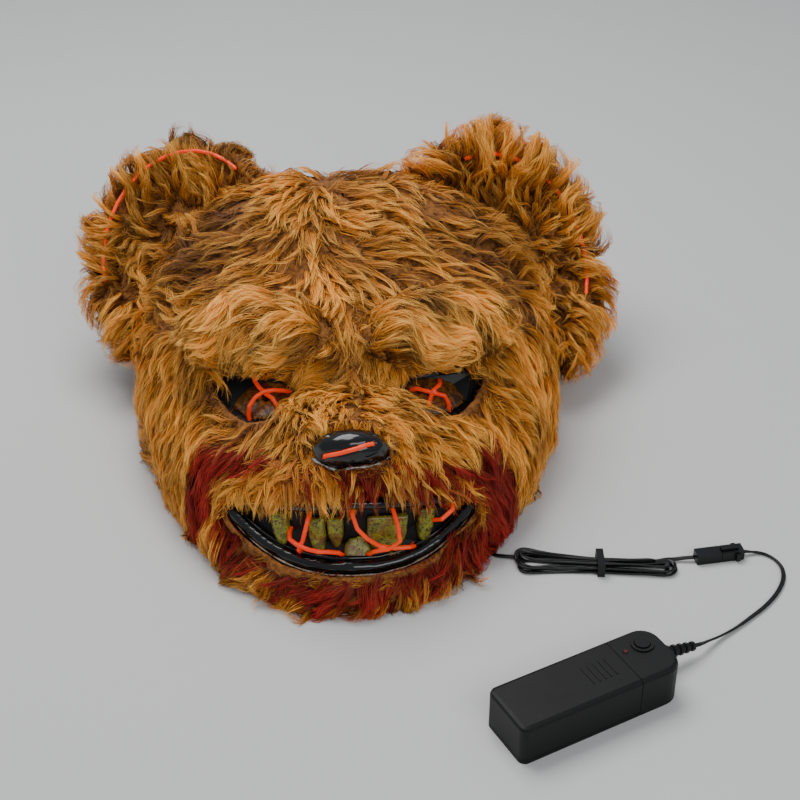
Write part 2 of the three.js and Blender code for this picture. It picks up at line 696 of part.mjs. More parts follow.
function eyeDisc(side, room) {
  const rim = EYE_RADIUS + room;
  const profile = [
    [PUPIL_RADIUS, EYE_SUNK / 2], [PUPIL_RADIUS, -EYE_PROUD], [EYE_RADIUS * 0.6, -EYE_PROUD * 0.85],
    [rim, -EYE_PROUD * 0.35 - room], [rim, EYE_SUNK], [PUPIL_RADIUS, EYE_SUNK],
    [PUPIL_RADIUS, EYE_SUNK / 2],
  ];
  const disc = new THREE.LatheGeometry(profile.map(([r, y]) => new THREE.Vector2(r, y)), 14);
  const at = onFace(side * EYE_SPREAD, -EYE_DROP, 0);
  const turn = new THREE.Quaternion().setFromUnitVectors(
    new THREE.Vector3(0, -1, 0), faceNormal(side * EYE_SPREAD, -EYE_DROP),
  );
  return solidOf(disc.applyQuaternion(turn).translate(at.x, at.y, at.z));
}

function pupilHole(side) {
  const hole = new THREE.CylinderGeometry(PUPIL_RADIUS, PUPIL_RADIUS, 2 * EYE_RADIUS, 12);
  const at = facePoint(side * EYE_SPREAD, -EYE_DROP);
  const turn = new THREE.Quaternion().setFromUnitVectors(
    new THREE.Vector3(0, -1, 0), faceNormal(side * EYE_SPREAD, -EYE_DROP),
  );
  return solidOf(hole.applyQuaternion(turn).translate(at.x, at.y, at.z));
}

function noseBody(room) {
  const ball = new THREE.SphereGeometry(1, 12, 7);
  ball.scale(NOSE_HALF_WIDTH + room, NOSE_PROUD * 1.3 + room, NOSE_HALF_HEIGHT + room);
  const at = onFace(0, -NOSE_DROP, -NOSE_PROUD * 0.3);
  return solidOf(ball.translate(at.x, at.y, at.z));
}

function nostril(side) {
  const dent = new THREE.SphereGeometry(NOSTRIL_RADIUS, 7, 5);
  const at = onFace(side * NOSTRIL_SPREAD, -NOSE_DROP + 1, NOSE_PROUD * 0.85);
  return solidOf(dent.scale(1.2, 1, 0.8).translate(at.x, at.y, at.z));
}

function faceShell() {
  const eyes = [pupilHole(-1), pupilHole(1)];
  const shell = faceBlock(0, backEnd).subtract(innerFace).subtract(unite(eyes));
  return trim(shell.subtract(wireRoom).subtract(leadRoom), RIM_CLEARANCE);
}

function faceFur() {
  const openings = unite([eyeOpening(-1), eyeOpening(1), noseOpening(), mouthOpening()]);
  const coat = unite([furFace, ...furLocks()]).subtract(outerFace).subtract(openings);
  const seated = unite([eyeDisc(-1, GAP), eyeDisc(1, GAP), noseBody(GAP), lipRoom, wireRoom]);
  const hankRoom = solidOf(leadHank(1).applyMatrix4(toMask));
  return trim(coat.subtract(seated).subtract(leadRoom).subtract(hankRoom), 0);
}

function browPad(side) {
  const pad = new THREE.SphereGeometry(1, 14, 8);
  const position = pad.attributes.position;
  for (let i = 0; i < position.count; i++) {
    const lockHeight = 1 + 0.03 * Math.sin(position.getX(i) * 23) * Math.cos(position.getZ(i) * 11);
    position.setXYZ(i, position.getX(i), position.getY(i) * lockHeight, position.getZ(i) * lockHeight);
  }
  pad.scale(BROW_HALF_LENGTH, BROW_HALF_DEPTH, BROW_HALF_HEIGHT);
  pad.rotateY(rad(-side * BROW_RISE)).rotateZ(rad(side * BROW_SWEEP));
  const at = onFace(side * BROW_HALF_LENGTH, BROW_CENTRE_UP, FUR - 3);
  return solidOf(pad.translate(side * (BROW_HALF_LENGTH + GAP), at.y, at.z));
}

function halfSpace(side) {
  const block = new THREE.BoxGeometry(BIG, BIG, BIG);
  return solidOf(block.translate(side * (GAP / 2 + BIG / 2), 0, 0));
}

// Teeth: middle and width as shares of the mouth's half width, root and tip as shares of the
// way from the upper lip to the lower one, and the width near the tip as a share
const TEETH = [
  { name: 'tooth_upper_1', across: -0.55, wide: 0.135, root: 0.06, tip: 0.84, point: 0.6 },
  { name: 'tooth_upper_2', across: -0.27, wide: 0.135, root: 0.06, tip: 0.8, point: 0.6 },
  { name: 'tooth_upper_3', across: -0.13, wide: 0.125, root: 0.06, tip: 0.66, point: 0.5 },
  { name: 'tooth_upper_4', across: 0.26, wide: 0.32, root: 0.06, tip: 0.76, point: 0.72 },
  { name: 'tooth_upper_5', across: 0.56, wide: 0.135, root: 0.06, tip: 0.83, point: 0.6 },
  { name: 'tooth_lower_1', across: 0.03, wide: 0.21, root: 1.0, tip: 0.28, point: 0.3 },
  { name: 'tooth_lower_2', across: -0.235, wide: 0.15, root: 1.0, tip: 0.83, point: 0.9 },
  { name: 'tooth_lower_3', across: 0.33, wide: 0.15, root: 1.0, tip: 0.8, point: 0.9 },
];

function tooth(row) {
  const [x, root] = mouthPlace(row.across, row.root);
  const tip = mouthPlace(row.across, row.tip)[1];
  const height = Math.abs(tip - root);
  const way = Math.sign(tip - root);
  const half = (row.wide * MOUTH_HALF_WIDTH) / 2;
  const tipHalf = half * row.point;
  const outline = new THREE.Shape();
  outline.moveTo(-half, -way * height / 2);
  outline.lineTo(-half * 0.96, way * height * 0.05);
  outline.lineTo(-tipHalf, way * height * 0.4);
  outline.lineTo(-tipHalf * 0.5, way * height / 2);
  outline.lineTo(tipHalf * 0.5, way * height / 2);
  outline.lineTo(tipHalf, way * height * 0.4);
  outline.lineTo(half * 0.96, way * height * 0.05);
  outline.lineTo(half, -way * height / 2);
  outline.closePath();
  const bevel = 0.8;
  const depth = TOOTH_PROUD + TOOTH_SUNK - bevel;
  const body = new THREE.ExtrudeGeometry(outline, {
    depth, bevelThickness: bevel, bevelSize: bevel, bevelOffset: -bevel, bevelSegments: 1,
  });
  body.rotateX(Math.PI / 2).translate(0, TOOTH_SUNK, 0);
  const up = (tip + root) / 2;
  const turn = new THREE.Quaternion().setFromUnitVectors(new THREE.Vector3(0, -1, 0), faceNormal(x, up));
  const at = facePoint(x, up);
  return solidOf(body.applyQuaternion(turn).translate(at.x, at.y, at.z));
}

// Inside the mask: the elastic band on the floor, and the joint where the lead meets the wires
function headStrap() {
  const line = [
    [-1.02, 1], [-0.93, 0.42], [-0.78, 0.05], [-0.4, 0], [0.4, 0], [0.78, 0.05], [0.93, 0.42], [1.02, 1],
  ].map(([across, rise]) => {
    const height = rise * STRAP_END_HEIGHT + STRAP_THICKNESS / 2 + GAP;
    return new THREE.Vector2(across * HALF_WIDTH, height);
  });
  const half = STRAP_THICKNESS / 2;
  const under = line.map((point) => new THREE.Vector2(point.x, point.y - half));
  const over = line.map((point) => new THREE.Vector2(point.x, point.y + half)).reverse();
  const band = new THREE.ExtrudeGeometry(new THREE.Shape([...under, ...over]), {
    depth: STRAP_WIDTH, bevelEnabled: false,
  });
  const behind = STRAP_UP / Math.cos(rad(TILT)) + STRAP_WIDTH;
  band.rotateX(Math.PI / 2).translate(0, behind + STRAP_WIDTH, 0);
  return solidOf(band.applyMatrix4(toTilted)).intersect(faceBlock(-FACE_WALL - GAP, backEnd + 4));
}

const SPLICE_RADIUS = 2.6;
const SPLICE_LENGTH = 18;
function wireSplice() {
  const [x, y, z] = LEAD_MASK[0];
  const sleeve = new THREE.CylinderGeometry(SPLICE_RADIUS, SPLICE_RADIUS, SPLICE_LENGTH, 10);
  sleeve.rotateX(Math.PI / 2).translate(x, y, z + GAP + SPLICE_LENGTH / 2);
  return solidOf(sleeve.applyMatrix4(toMask)).intersect(faceBlock(-FACE_WALL - GAP, backEnd + 4));
}

function buildMask() {
  const mask = new THREE.Group();
  const add = (name, solid, material) => mask.add(piece(name, geometryOf(solid), material));
  add('face_shell', faceShell(), SHELL_BLACK);
  add('face_fur', faceFur(), FUR_BROWN);
  for (const [name, side] of [['brow_left', -1], ['brow_right', 1]]) {
    add(name, browPad(side).subtract(furRoom).intersect(halfSpace(side)), BROW_BROWN);
  }
  EARS.forEach((ear, index) => {
    const whole = solidOf(earBody(ear)).subtract(furRoom).subtract(earWireRoom[index]);
    add(ear.name, whole.subtract(belowFloor(RIM_CLEARANCE)), FUR_BROWN);
  });
  for (const row of EAR_WIRES) {
    add(row.name, solidOf(earWire(row, 0)).subtract(furRoom), LIGHT_ORANGE);
  }
  for (const [name, side] of [['eye_left', -1], ['eye_right', 1]]) {
    add(name, eyeDisc(side, 0).subtract(outerFace).subtract(wireRoom), EYE_OCHRE);
  }
  const nose = noseBody(0).subtract(outerFace).subtract(wireRoom);
  add('nose', nose.subtract(nostril(-1)).subtract(nostril(1)), GLOSS_BLACK);
  const [lower, upper] = lipTubes(0);
  add('lip_lower', lower.subtract(outerFace).subtract(wireRoom), GLOSS_BLACK);
  add('lip_upper', upper.subtract(outerFace).subtract(wireRoom), GLOSS_BLACK);
  for (const row of TEETH) {
    add(row.name, tooth(row).subtract(outerFace).subtract(lipRoom).subtract(wireRoom), TOOTH_OLIVE);
  }
  for (const row of WIRES) {
    mask.add(piece(row.name, wireTube(row, 0), LIGHT_ORANGE));
  }
  add('head_strap', headStrap(), STRAP_GREY);
  add('wire_splice', wireSplice(), LEAD_BLACK);
  mask.applyMatrix4(maskPlace);
  return mask;
}

// The hank: middle line and width at its left end, its tie and its right end
const HANK = [
  { x: 70, y: 683, wide: 20 },
  { x: 84, y: 681.5, wide: 17 },
  { x: 110, y: 679, wide: 12 },
  { x: 134, y: 677.6, wide: 13 },
  { x: 150, y: 677, wide: 12 },
];
const TIE_ROW = 2;
function leadHank(room) {
  const rows = HANK.map((row) => ({ ...row, wide: row.wide + 2 * room }));
  const first = rows[0];
  const last = rows[rows.length - 1];
  const outline = new THREE.Shape();
  outline.moveTo(first.x, first.y + first.wide / 2);
  outline.absarc(first.x, first.y, first.wide / 2, Math.PI / 2, 1.5 * Math.PI, false);
  for (const row of rows.slice(1)) outline.lineTo(row.x, row.y - row.wide / 2);
  outline.absarc(last.x, last.y, last.wide / 2, -Math.PI / 2, Math.PI / 2, false);
  for (const row of rows.slice(1, -1).reverse()) outline.lineTo(row.x, row.y + row.wide / 2);
  outline.closePath();
  const body = new THREE.ExtrudeGeometry(outline, {
    depth: HANK_HEIGHT - HANK_LIFT + 2 * room, bevelEnabled: false, curveSegments: 6,
  });
  return body.translate(0, 0, HANK_LIFT - room);
}

function hankTie() {
  const { x, y, wide } = HANK[TIE_ROW];
  const inside = { wide: wide + 2 * GAP + 0.4, low: HANK_LIFT - GAP, high: HANK_HEIGHT + GAP };
  const ring = new THREE.Shape();
  const half = inside.wide / 2 + TIE_WALL;
  ring.moveTo(-half, inside.low - TIE_WALL);
  ring.lineTo(half, inside.low - TIE_WALL);
  ring.lineTo(half, inside.high + TIE_WALL);
  ring.lineTo(-half, inside.high + TIE_WALL);
  ring.closePath();
  const hole = new THREE.Path();
  hole.moveTo(-inside.wide / 2, inside.low);
  hole.lineTo(inside.wide / 2, inside.low);
  hole.lineTo(inside.wide / 2, inside.high);
  hole.lineTo(-inside.wide / 2, inside.high);
  hole.closePath();
  ring.holes.push(hole);
  const band = new THREE.ExtrudeGeometry(ring, { depth: TIE_LENGTH, bevelEnabled: false });
  band.translate(0, 0, -TIE_LENGTH / 2).rotateX(Math.PI / 2).rotateZ(Math.PI / 2);
  return band.translate(x, y, 0);
}

// A block with rounded upright corners and a chamfered top edge, its bottom at z 0
function roundedBlock(length, width, height, corner, endCorner, edge) {
  const x = length / 2 - edge;
  const y = width / 2 - edge;
  const near = corner - edge;
  const far = endCorner - edge;
  const outline = new THREE.Shape();
  outline.moveTo(-x + near, -y);
  outline.lineTo(x - far, -y);
  outline.absarc(x - far, -y + far, far, -Math.PI / 2, 0, false);
  outline.absarc(x - far, y - far, far, 0, Math.PI / 2, false);
  outline.lineTo(-x + near, y);
  outline.absarc(-x + near, y - near, near, Math.PI / 2, Math.PI, false);
  outline.absarc(-x + near, -y + near, near, Math.PI, 1.5 * Math.PI, false);
  const body = new THREE.ExtrudeGeometry(outline, {
    depth: height - 2 * edge, bevelThickness: edge, bevelSize: edge, bevelSegments: 2, curveSegments: 3,
  });
  return solidOf(body.translate(0, 0, edge));
}

function blockAt(x0, x1, y0, y1, z0, z1) {
  const block = new THREE.BoxGeometry(x1 - x0, y1 - y0, z1 - z0);
  return solidOf(block.translate((x0 + x1) / 2, (y0 + y1) / 2, (z0 + z1) / 2));
}

function drum(x, y, radius, z0, z1, sides = 24) {
  const body = new THREE.CylinderGeometry(radius, radius, z1 - z0, sides);
  return solidOf(body.rotateX(Math.PI / 2).translate(x, y, (z0 + z1) / 2));
}

// The case with its flat base, and the box that its cover takes
const seamX = CASE_LENGTH / 2 - HEAD_LENGTH;
const buttonX = CASE_LENGTH / 2 - BUTTON_FROM_END;
const ledX = seamX + LED_FROM_SEAM;
function caseWhole() {
  const height = CASE_HEIGHT + CASE_EDGE;
  const block = roundedBlock(CASE_LENGTH, CASE_WIDTH, height, CASE_CORNER, CASE_END_CORNER, CASE_EDGE);
  const underBase = blockAt(-CASE_LENGTH, CASE_LENGTH, -CASE_WIDTH, CASE_WIDTH, -2 * CASE_EDGE, 0);
  return block.translate([0, 0, -CASE_EDGE]).subtract(underBase);
}

function batteryCase() {
  const high = 2 * CASE_HEIGHT;
  const coverSpace = blockAt(-CASE_LENGTH, seamX, -CASE_WIDTH, CASE_WIDTH, TRAY_FLOOR, high);
  const inset = COVER_WALL + GAP;
  const trayX = -CASE_LENGTH / 2 + inset;
  const trayY = CASE_WIDTH / 2 - inset;
  const tray = blockAt(trayX, seamX, -trayY, trayY, TRAY_FLOOR, TRAY_HEIGHT);
  const insideY = trayY - TRAY_WALL;
  const hollow = blockAt(trayX + TRAY_WALL, seamX - TRAY_WALL, -insideY, insideY, TRAY_FLOOR, high);
  const bezel = drum(buttonX, BUTTON_Y, BEZEL_RADIUS, CASE_HEIGHT - 1, CASE_HEIGHT + BEZEL_PROUD);
  const wellFloor = CASE_HEIGHT - BUTTON_DEPTH - BUTTON_TRAVEL_ROOM;
  const buttonWell = drum(buttonX, BUTTON_Y, BUTTON_RADIUS + GAP, wellFloor, high);
  const ledWell = drum(ledX, LED_Y, LED_RADIUS + GAP, CASE_HEIGHT - LED_DEPTH - GAP, high, 10);
  const head = caseWhole().subtract(coverSpace).add(tray).subtract(hollow);
  return head.add(bezel).subtract(buttonWell).subtract(ledWell);
}

const GRIP_BARS = 5;
const GRIP_PITCH = 3.4;
const GRIP_START = 22;

function batteryCover() {
  const insideX = -CASE_LENGTH / 2 + COVER_WALL;
  const insideY = CASE_WIDTH / 2 - COVER_WALL;
  const inner = blockAt(insideX, seamX + 1, -insideY, insideY, -1, CASE_HEIGHT - COVER_WALL);
  const tray = blockAt(-CASE_LENGTH, CASE_LENGTH, -CASE_WIDTH, CASE_WIDTH, -1, TRAY_FLOOR + GAP);
  const head = blockAt(seamX - GAP, CASE_LENGTH, -CASE_WIDTH, CASE_WIDTH, -1, 2 * CASE_HEIGHT);
  const grip = [];
  for (let i = 0; i < GRIP_BARS; i++) {
    const x = seamX - GRIP_START + GRIP_PITCH * i;
    grip.push(blockAt(x, x + 0.8, -6, 6, CASE_HEIGHT - 0.5, CASE_HEIGHT + 0.3));
  }
  return caseWhole().subtract(inner).subtract(tray).subtract(head).add(unite(grip));
}

function strainRelief() {
  const foot = CASE_LENGTH / 2 + GAP;
  const profile = [[0, 0], [RELIEF_RADIUS, 0], [RELIEF_RADIUS, RELIEF_FOOT]];
  const pitch = (RELIEF_LENGTH - RELIEF_FOOT) / RELIEF_RIBS;
  for (let i = 0; i < RELIEF_RIBS; i++) {
    const radius = lerp(RELIEF_RADIUS, LEAD_RADIUS + 1, (i + 1) / RELIEF_RIBS);
    const start = RELIEF_FOOT + pitch * i;
    profile.push([radius - 0.5, start + pitch * 0.1], [radius - 0.5, start + pitch * 0.4]);
    profile.push([radius + 0.3, start + pitch * 0.5], [radius + 0.3, start + pitch * 0.95]);
  }
  profile.push([0, RELIEF_LENGTH - pitch * 0.05]);
  const body = new THREE.LatheGeometry(profile.map(([r, y]) => new THREE.Vector2(r, y)), 8);
  body.rotateZ(-Math.PI / 2).rotateY(rad(RELIEF_DROOP));
  body.translate(foot + RELIEF_RADIUS * Math.sin(rad(RELIEF_DROOP)), RELIEF_Y, RELIEF_RISE);
  const inCase = blockAt(-CASE_LENGTH, foot, -CASE_WIDTH, CASE_WIDTH, -1, 2 * CASE_HEIGHT);
  return solidOf(body).subtract(inCase);
}

function buildCase() {
  const box = new THREE.Group();
  const add = (name, solid, material) => box.add(piece(name, geometryOf(solid), material));
  add('battery_case', batteryCase(), CASE_BLACK);
  add('battery_cover', batteryCover(), CASE_BLACK);
  const button = { low: CASE_HEIGHT - BUTTON_DEPTH, high: CASE_HEIGHT + BUTTON_PROUD };
  add('power_button', drum(buttonX, BUTTON_Y, BUTTON_RADIUS, button.low, button.high), CASE_BLACK);
  const led = { low: CASE_HEIGHT - LED_DEPTH, high: CASE_HEIGHT + LED_PROUD };
  add('indicator_led', drum(ledX, LED_Y, LED_RADIUS, led.low, led.high, 10), LED_RED);
  add('strain_relief', strainRelief(), CASE_BLACK);
  box.rotation.z = rad(CASE_TURN);
  box.position.set(CASE_X, CASE_Y, 0);
  return box;
}

// The two halves of the connector, in line between the two leads
function connectorHalf(from, to, wingAt) {
  const parts = [blockAt(from, to, -PLUG_WIDTH / 2, PLUG_WIDTH / 2, 0, PLUG_HEIGHT)];
  if (wingAt) {
    parts.push(blockAt(wingAt, wingAt + 2.4, -PLUG_WIDTH / 2 - 2, PLUG_WIDTH / 2 + 2, 1, PLUG_HEIGHT - 1));
    parts.push(blockAt(from, to - 3, -1.6, 1.6, PLUG_HEIGHT - 0.5, PLUG_HEIGHT + 1.4));
  }
  return unite(parts);
}

function buildLead() {
  const lead = new THREE.Group();
  lead.add(piece('lead_mask', leadTube(LEAD_MASK, 0, 14), LEAD_BLACK));
  lead.add(piece('lead_hank', leadHank(0), LEAD_BLACK));
  lead.add(piece('hank_tie', hankTie(), LEAD_BLACK));
  lead.add(piece('lead_plug', leadTube(LEAD_PLUG, 0, 8), LEAD_BLACK));
  lead.add(piece('lead_case', leadTube(LEAD_CASE, 0, 24), LEAD_BLACK));
  const [startX, startY] = LEAD_PLUG[LEAD_PLUG.length - 1];
  const [endX, endY] = LEAD_CASE[0];
  const length = Math.hypot(endX - startX, endY - startY) - 2 * GAP;
  const joint = length * 0.52;
  const connector = new THREE.Group();
  connector.add(piece('connector_plug', geometryOf(connectorHalf(0, joint, 0)), CASE_BLACK));
  const socket = connectorHalf(joint + GAP, length, length - 5);
  connector.add(piece('connector_socket', geometryOf(socket), CASE_BLACK));
  connector.rotation.z = Math.atan2(endY - startY, endX - startX);
  connector.position.set(
    startX + GAP * Math.cos(connector.rotation.z), startY + GAP * Math.sin(connector.rotation.z), 0,
  );
  lead.add(connector);
  return lead;
}

const group = new THREE.Group();
group.add(buildMask(), buildCase(), buildLead());

// The origin stands on the floor under the middle of the mask and the case
group.updateMatrixWorld(true);
const whole = new THREE.Box3();
group.children.slice(0, 2).forEach((part) => whole.expandByObject(part, true));
const middle = whole.getCenter(new THREE.Vector3());
group.position.set(-middle.x, -middle.y, -whole.min.z);

export default group;
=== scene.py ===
# %% [markdown]
# # Bear mask with its lead and battery case
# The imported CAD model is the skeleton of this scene: every piece sits where its solid sits.
# The hard pieces of the battery case keep their solids and get better finishes here.
# Fur, lips, teeth, eyes and wires are remade as fine meshes, because the solids are plain.

import json
import math

import bpy
import numpy as np
from mathutils import Matrix, Vector
from mathutils.bvhtree import BVHTree

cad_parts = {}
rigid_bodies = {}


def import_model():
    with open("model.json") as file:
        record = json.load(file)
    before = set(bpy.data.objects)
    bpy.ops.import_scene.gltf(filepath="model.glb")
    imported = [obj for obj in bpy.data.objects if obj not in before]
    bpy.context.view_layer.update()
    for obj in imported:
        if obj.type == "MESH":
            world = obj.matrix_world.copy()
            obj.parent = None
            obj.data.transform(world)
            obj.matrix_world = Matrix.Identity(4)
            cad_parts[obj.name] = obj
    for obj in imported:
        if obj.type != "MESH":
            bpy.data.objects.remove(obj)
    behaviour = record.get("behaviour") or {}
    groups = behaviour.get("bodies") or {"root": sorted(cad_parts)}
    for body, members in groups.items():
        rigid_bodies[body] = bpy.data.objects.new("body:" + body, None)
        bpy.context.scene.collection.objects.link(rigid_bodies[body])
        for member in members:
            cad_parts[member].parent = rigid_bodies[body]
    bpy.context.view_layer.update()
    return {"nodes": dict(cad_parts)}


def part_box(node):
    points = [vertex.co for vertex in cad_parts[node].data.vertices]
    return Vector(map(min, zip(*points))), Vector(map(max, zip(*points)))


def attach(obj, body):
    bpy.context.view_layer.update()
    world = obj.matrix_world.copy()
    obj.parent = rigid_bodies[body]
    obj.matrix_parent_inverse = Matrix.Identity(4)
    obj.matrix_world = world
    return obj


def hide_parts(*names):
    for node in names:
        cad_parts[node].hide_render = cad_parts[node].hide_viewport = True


MM = 0.001
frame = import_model()
nodes = frame["nodes"]

# %% [markdown]
# ## Camera
# The photograph looks down on the object from about arm's length, at 34 degrees below level.
# The camera's place on the plan came from matching the case, the eyes and the mouth with the picture.
# Plan points are millimetres from the spot on the floor below the camera.
# The battery case ties them to the part's frame.

# %% Camera at the photograph's angle
CASE_ON_PLAN = Vector((90.42, 569.75)) * MM
CAMERA_HEIGHT = 0.570
CAMERA_PITCH = 34
CAMERA_LENS = 72
CAMERA_SENSOR = 36

case_low, case_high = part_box("battery_case")
case_centre = (case_low + case_high) / 2
plan_start = Vector((case_centre.x - CASE_ON_PLAN.x, case_centre.y - CASE_ON_PLAN.y, 0))


def on_plan(points):
    """Plan points in millimetres as points of the part's frame in metres."""
    return np.array(points, float) * MM + np.array(plan_start)


camera_data = bpy.data.cameras.new("photo_camera")
camera_data.lens = CAMERA_LENS
camera_data.sensor_width = CAMERA_SENSOR
camera = bpy.data.objects.new("photo_camera", camera_data)
camera.location = plan_start + Vector((0, 0, CAMERA_HEIGHT))
camera.rotation_euler = (math.radians(90 - CAMERA_PITCH), 0, 0)
bpy.context.scene.collection.objects.link(camera)
bpy.context.scene.camera = camera
print("camera at", tuple(round(c, 3) for c in camera.location))

# %% [markdown]
# ## Helpers for materials
# Each finish is a Principled shader fed by a few nodes, so every material starts the same way.
# Constant numbers go on the shader's own sockets, because the export reads them there.
# Noise that several finishes share is kept in node groups, each built once with named sockets.


# %% Wire nodes in a tree
class Wiring:
    """Short ways to add and join the nodes of one tree."""

    def __init__(self, tree):
        self.tree = tree

    def join(self, value, socket):
        if isinstance(value, bpy.types.NodeSocket):
            self.tree.links.new(value, socket)
        else:
            socket.default_value = value

    def node(self, kind, inputs=None, **settings):
        made = self.tree.nodes.new(kind)
        for key, value in settings.items():
            setattr(made, key, value)
        for key, value in (inputs or {}).items():
            self.join(value, made.inputs[key])
        return made

    def group(self, shared, inputs):
        return self.node("ShaderNodeGroup", inputs, node_tree=shared)

    def where(self):
        """The place of a surface point in the part's frame."""
        return self.node("ShaderNodeTexCoord").outputs["Object"]

    def noise(self, scale, **inputs):
        inputs = {"Vector": self.where(), "Scale": scale, **inputs}
        return self.node("ShaderNodeTexNoise", inputs).outputs["Fac"]

    def maths(self, how, *values):
        return self.node("ShaderNodeMath", dict(enumerate(values)), operation=how).outputs[0]

    def ramp(self, value, stops, smooth=True):
        made = self.node("ShaderNodeValToRGB", {"Fac": value})
        band = made.color_ramp
        band.interpolation = "EASE" if smooth else "LINEAR"
        while len(band.elements) < len(stops):
            band.elements.new(0.5)
        for element, (at, shade) in zip(band.elements, stops):
            element.position = at
            element.color = shade
        return made.outputs["Color"]

    def spread(self, value, low, high, to_low=0.0, to_high=1.0, kind="LINEAR"):
        """A value from low to high spread over another range, and kept inside it."""
        inputs = {"Value": value, "From Min": low, "From Max": high, "To Min": to_low, "To Max": to_high}
        return self.node("ShaderNodeMapRange", inputs, interpolation_type=kind).outputs["Result"]

    def mix(self, factor, a, b, how="MIX"):
        inputs = {"Factor": factor, "A": a, "B": b}
        return self.node("ShaderNodeMix", inputs, data_type="RGBA", blend_type=how).outputs["Result"]


print("wiring ready")


# %% Start a material
class Finish(Wiring):
    """A material being built: its shader, its plain values and what feeds it."""

    def __init__(self, name, **values):
        self.material = bpy.data.materials.new(name)
        self.material.use_nodes = True
        super().__init__(self.material.node_tree)
        self.shader = self.tree.nodes["Principled BSDF"]
        for socket, value in values.items():
            self.shader.inputs[socket.replace("_", " ")].default_value = value

    def feed(self, socket, value):
        self.join(value, self.shader.inputs[socket])

    def bump(self, height, strength, distance):
        inputs = {"Height": height, "Strength": strength, "Distance": distance}
        self.feed("Normal", self.node("ShaderNodeBump", inputs).outputs["Normal"])


def colour(red, green, blue):
    """A screen colour, 0 to 255, as the linear opaque colour that a shader takes."""
    def linear(c):
        c /= 255
        return c / 12.92 if c <= 0.04045 else ((c + 0.055) / 1.055) ** 2.4
    return (linear(red), linear(green), linear(blue), 1)


print("material helpers ready")

# %% [markdown]
# ## Shared surface groups
# Moulded and painted plastics share two things: a very fine grain, and slow changes in gloss.
# One group makes both from noise, and each plastic sets its own scale and strength.
# A second group scatters flecks of a darker colour, which both the eyes and the teeth carry.
# A third makes soft lumps in two colours, for the cloth under the fur, its cut edge and the glue.


# %% Plastic grain group
NUMBER, COLOUR = "NodeSocketFloat", "NodeSocketColor"


def shader_group(name, inputs, outputs):
    """An empty node group: its wiring, the sockets that it is given and those that it has to fill."""
    tree = bpy.data.node_groups.new(name, "ShaderNodeTree")
    for label, kind, value in inputs:
        tree.interface.new_socket(label, in_out="INPUT", socket_type=kind).default_value = value
    for label, kind in outputs:
        tree.interface.new_socket(label, in_out="OUTPUT", socket_type=kind)
    return Wiring(tree), tree.nodes.new("NodeGroupInput").outputs, tree.nodes.new("NodeGroupOutput").inputs


plastic, given, wanted = shader_group(
    "plastic_grain",
    [("Grain Scale", NUMBER, 3000), ("Gloss Scale", NUMBER, 60),
     ("Roughness", NUMBER, 0.4), ("Gloss Change", NUMBER, 0.1)],
    [("Height", NUMBER), ("Roughness", NUMBER)],
)
slow_change = plastic.maths("SUBTRACT", plastic.noise(given["Gloss Scale"]), 0.5)
gloss = plastic.maths("MULTIPLY_ADD", slow_change, given["Gloss Change"], given["Roughness"])
plastic.join(plastic.noise(given["Grain Scale"]), wanted["Height"])
plastic.join(gloss, wanted["Roughness"])
PLASTIC_GRAIN = plastic.tree
print("group plastic_grain:", len(PLASTIC_GRAIN.nodes), "nodes")

# %% Paint fleck group
painted, given, wanted = shader_group(
    "paint_flecks",
    [("Base", COLOUR, (0.2, 0.2, 0.05, 1)), ("Second", COLOUR, (0.1, 0.1, 0.02, 1)),
     ("Fleck", COLOUR, (0.02, 0.01, 0.005, 1)), ("Scale", NUMBER, 200), ("Amount", NUMBER, 0.5)],
    [("Color", COLOUR), ("Mask", NUMBER)],
)
cloud = painted.noise(painted.maths("MULTIPLY", given["Scale"], 0.35), Detail=4, Distortion=1.2)
specks = painted.noise(given["Scale"], Detail=6, Distortion=2.5)
mask = painted.maths("MULTIPLY", painted.spread(specks, 0.54, 0.6), given["Amount"])
two_paints = painted.mix(painted.spread(cloud, 0.35, 0.65), given["Base"], given["Second"])
painted.join(painted.mix(mask, two_paints, given["Fleck"]), wanted["Color"])
painted.join(mask, wanted["Mask"])
PAINT_FLECKS = painted.tree
print("group paint_flecks:", len(PAINT_FLECKS.nodes), "nodes")

# %% Lumps group
lumpy, given, wanted = shader_group(
    "lumps",
    [("Dark", COLOUR, (0.1, 0.1, 0.1, 1)), ("Light", COLOUR, (0.5, 0.5, 0.5, 1)), ("Scale", NUMBER, 500)],
    [("Color", COLOUR), ("Height", NUMBER)],
)
height = lumpy.noise(given["Scale"], Detail=4)
lumpy.join(lumpy.mix(lumpy.spread(height, 0.3, 0.72), given["Dark"], given["Light"]), wanted["Color"])
lumpy.join(height, wanted["Height"])
LUMPS = lumpy.tree
print("group lumps:", len(LUMPS.nodes), "nodes")


# %% The plain black plastics
GRAIN_DEPTH = 0.0002


def black_plastic(name, shade, roughness, grain=0.12, coat=0.0, grain_scale=2600):
    finish = Finish(name, Base_Color=colour(*shade), Coat_Weight=coat, Coat_Roughness=0.08,
                    Specular_IOR_Level=0.3)
    surface = finish.group(PLASTIC_GRAIN, {
        "Grain Scale": grain_scale, "Gloss Scale": 70, "Roughness": roughness, "Gloss Change": 0.12,
    })
    finish.feed("Roughness", surface.outputs["Roughness"])
    finish.bump(surface.outputs["Height"], grain, GRAIN_DEPTH)
    return finish.material


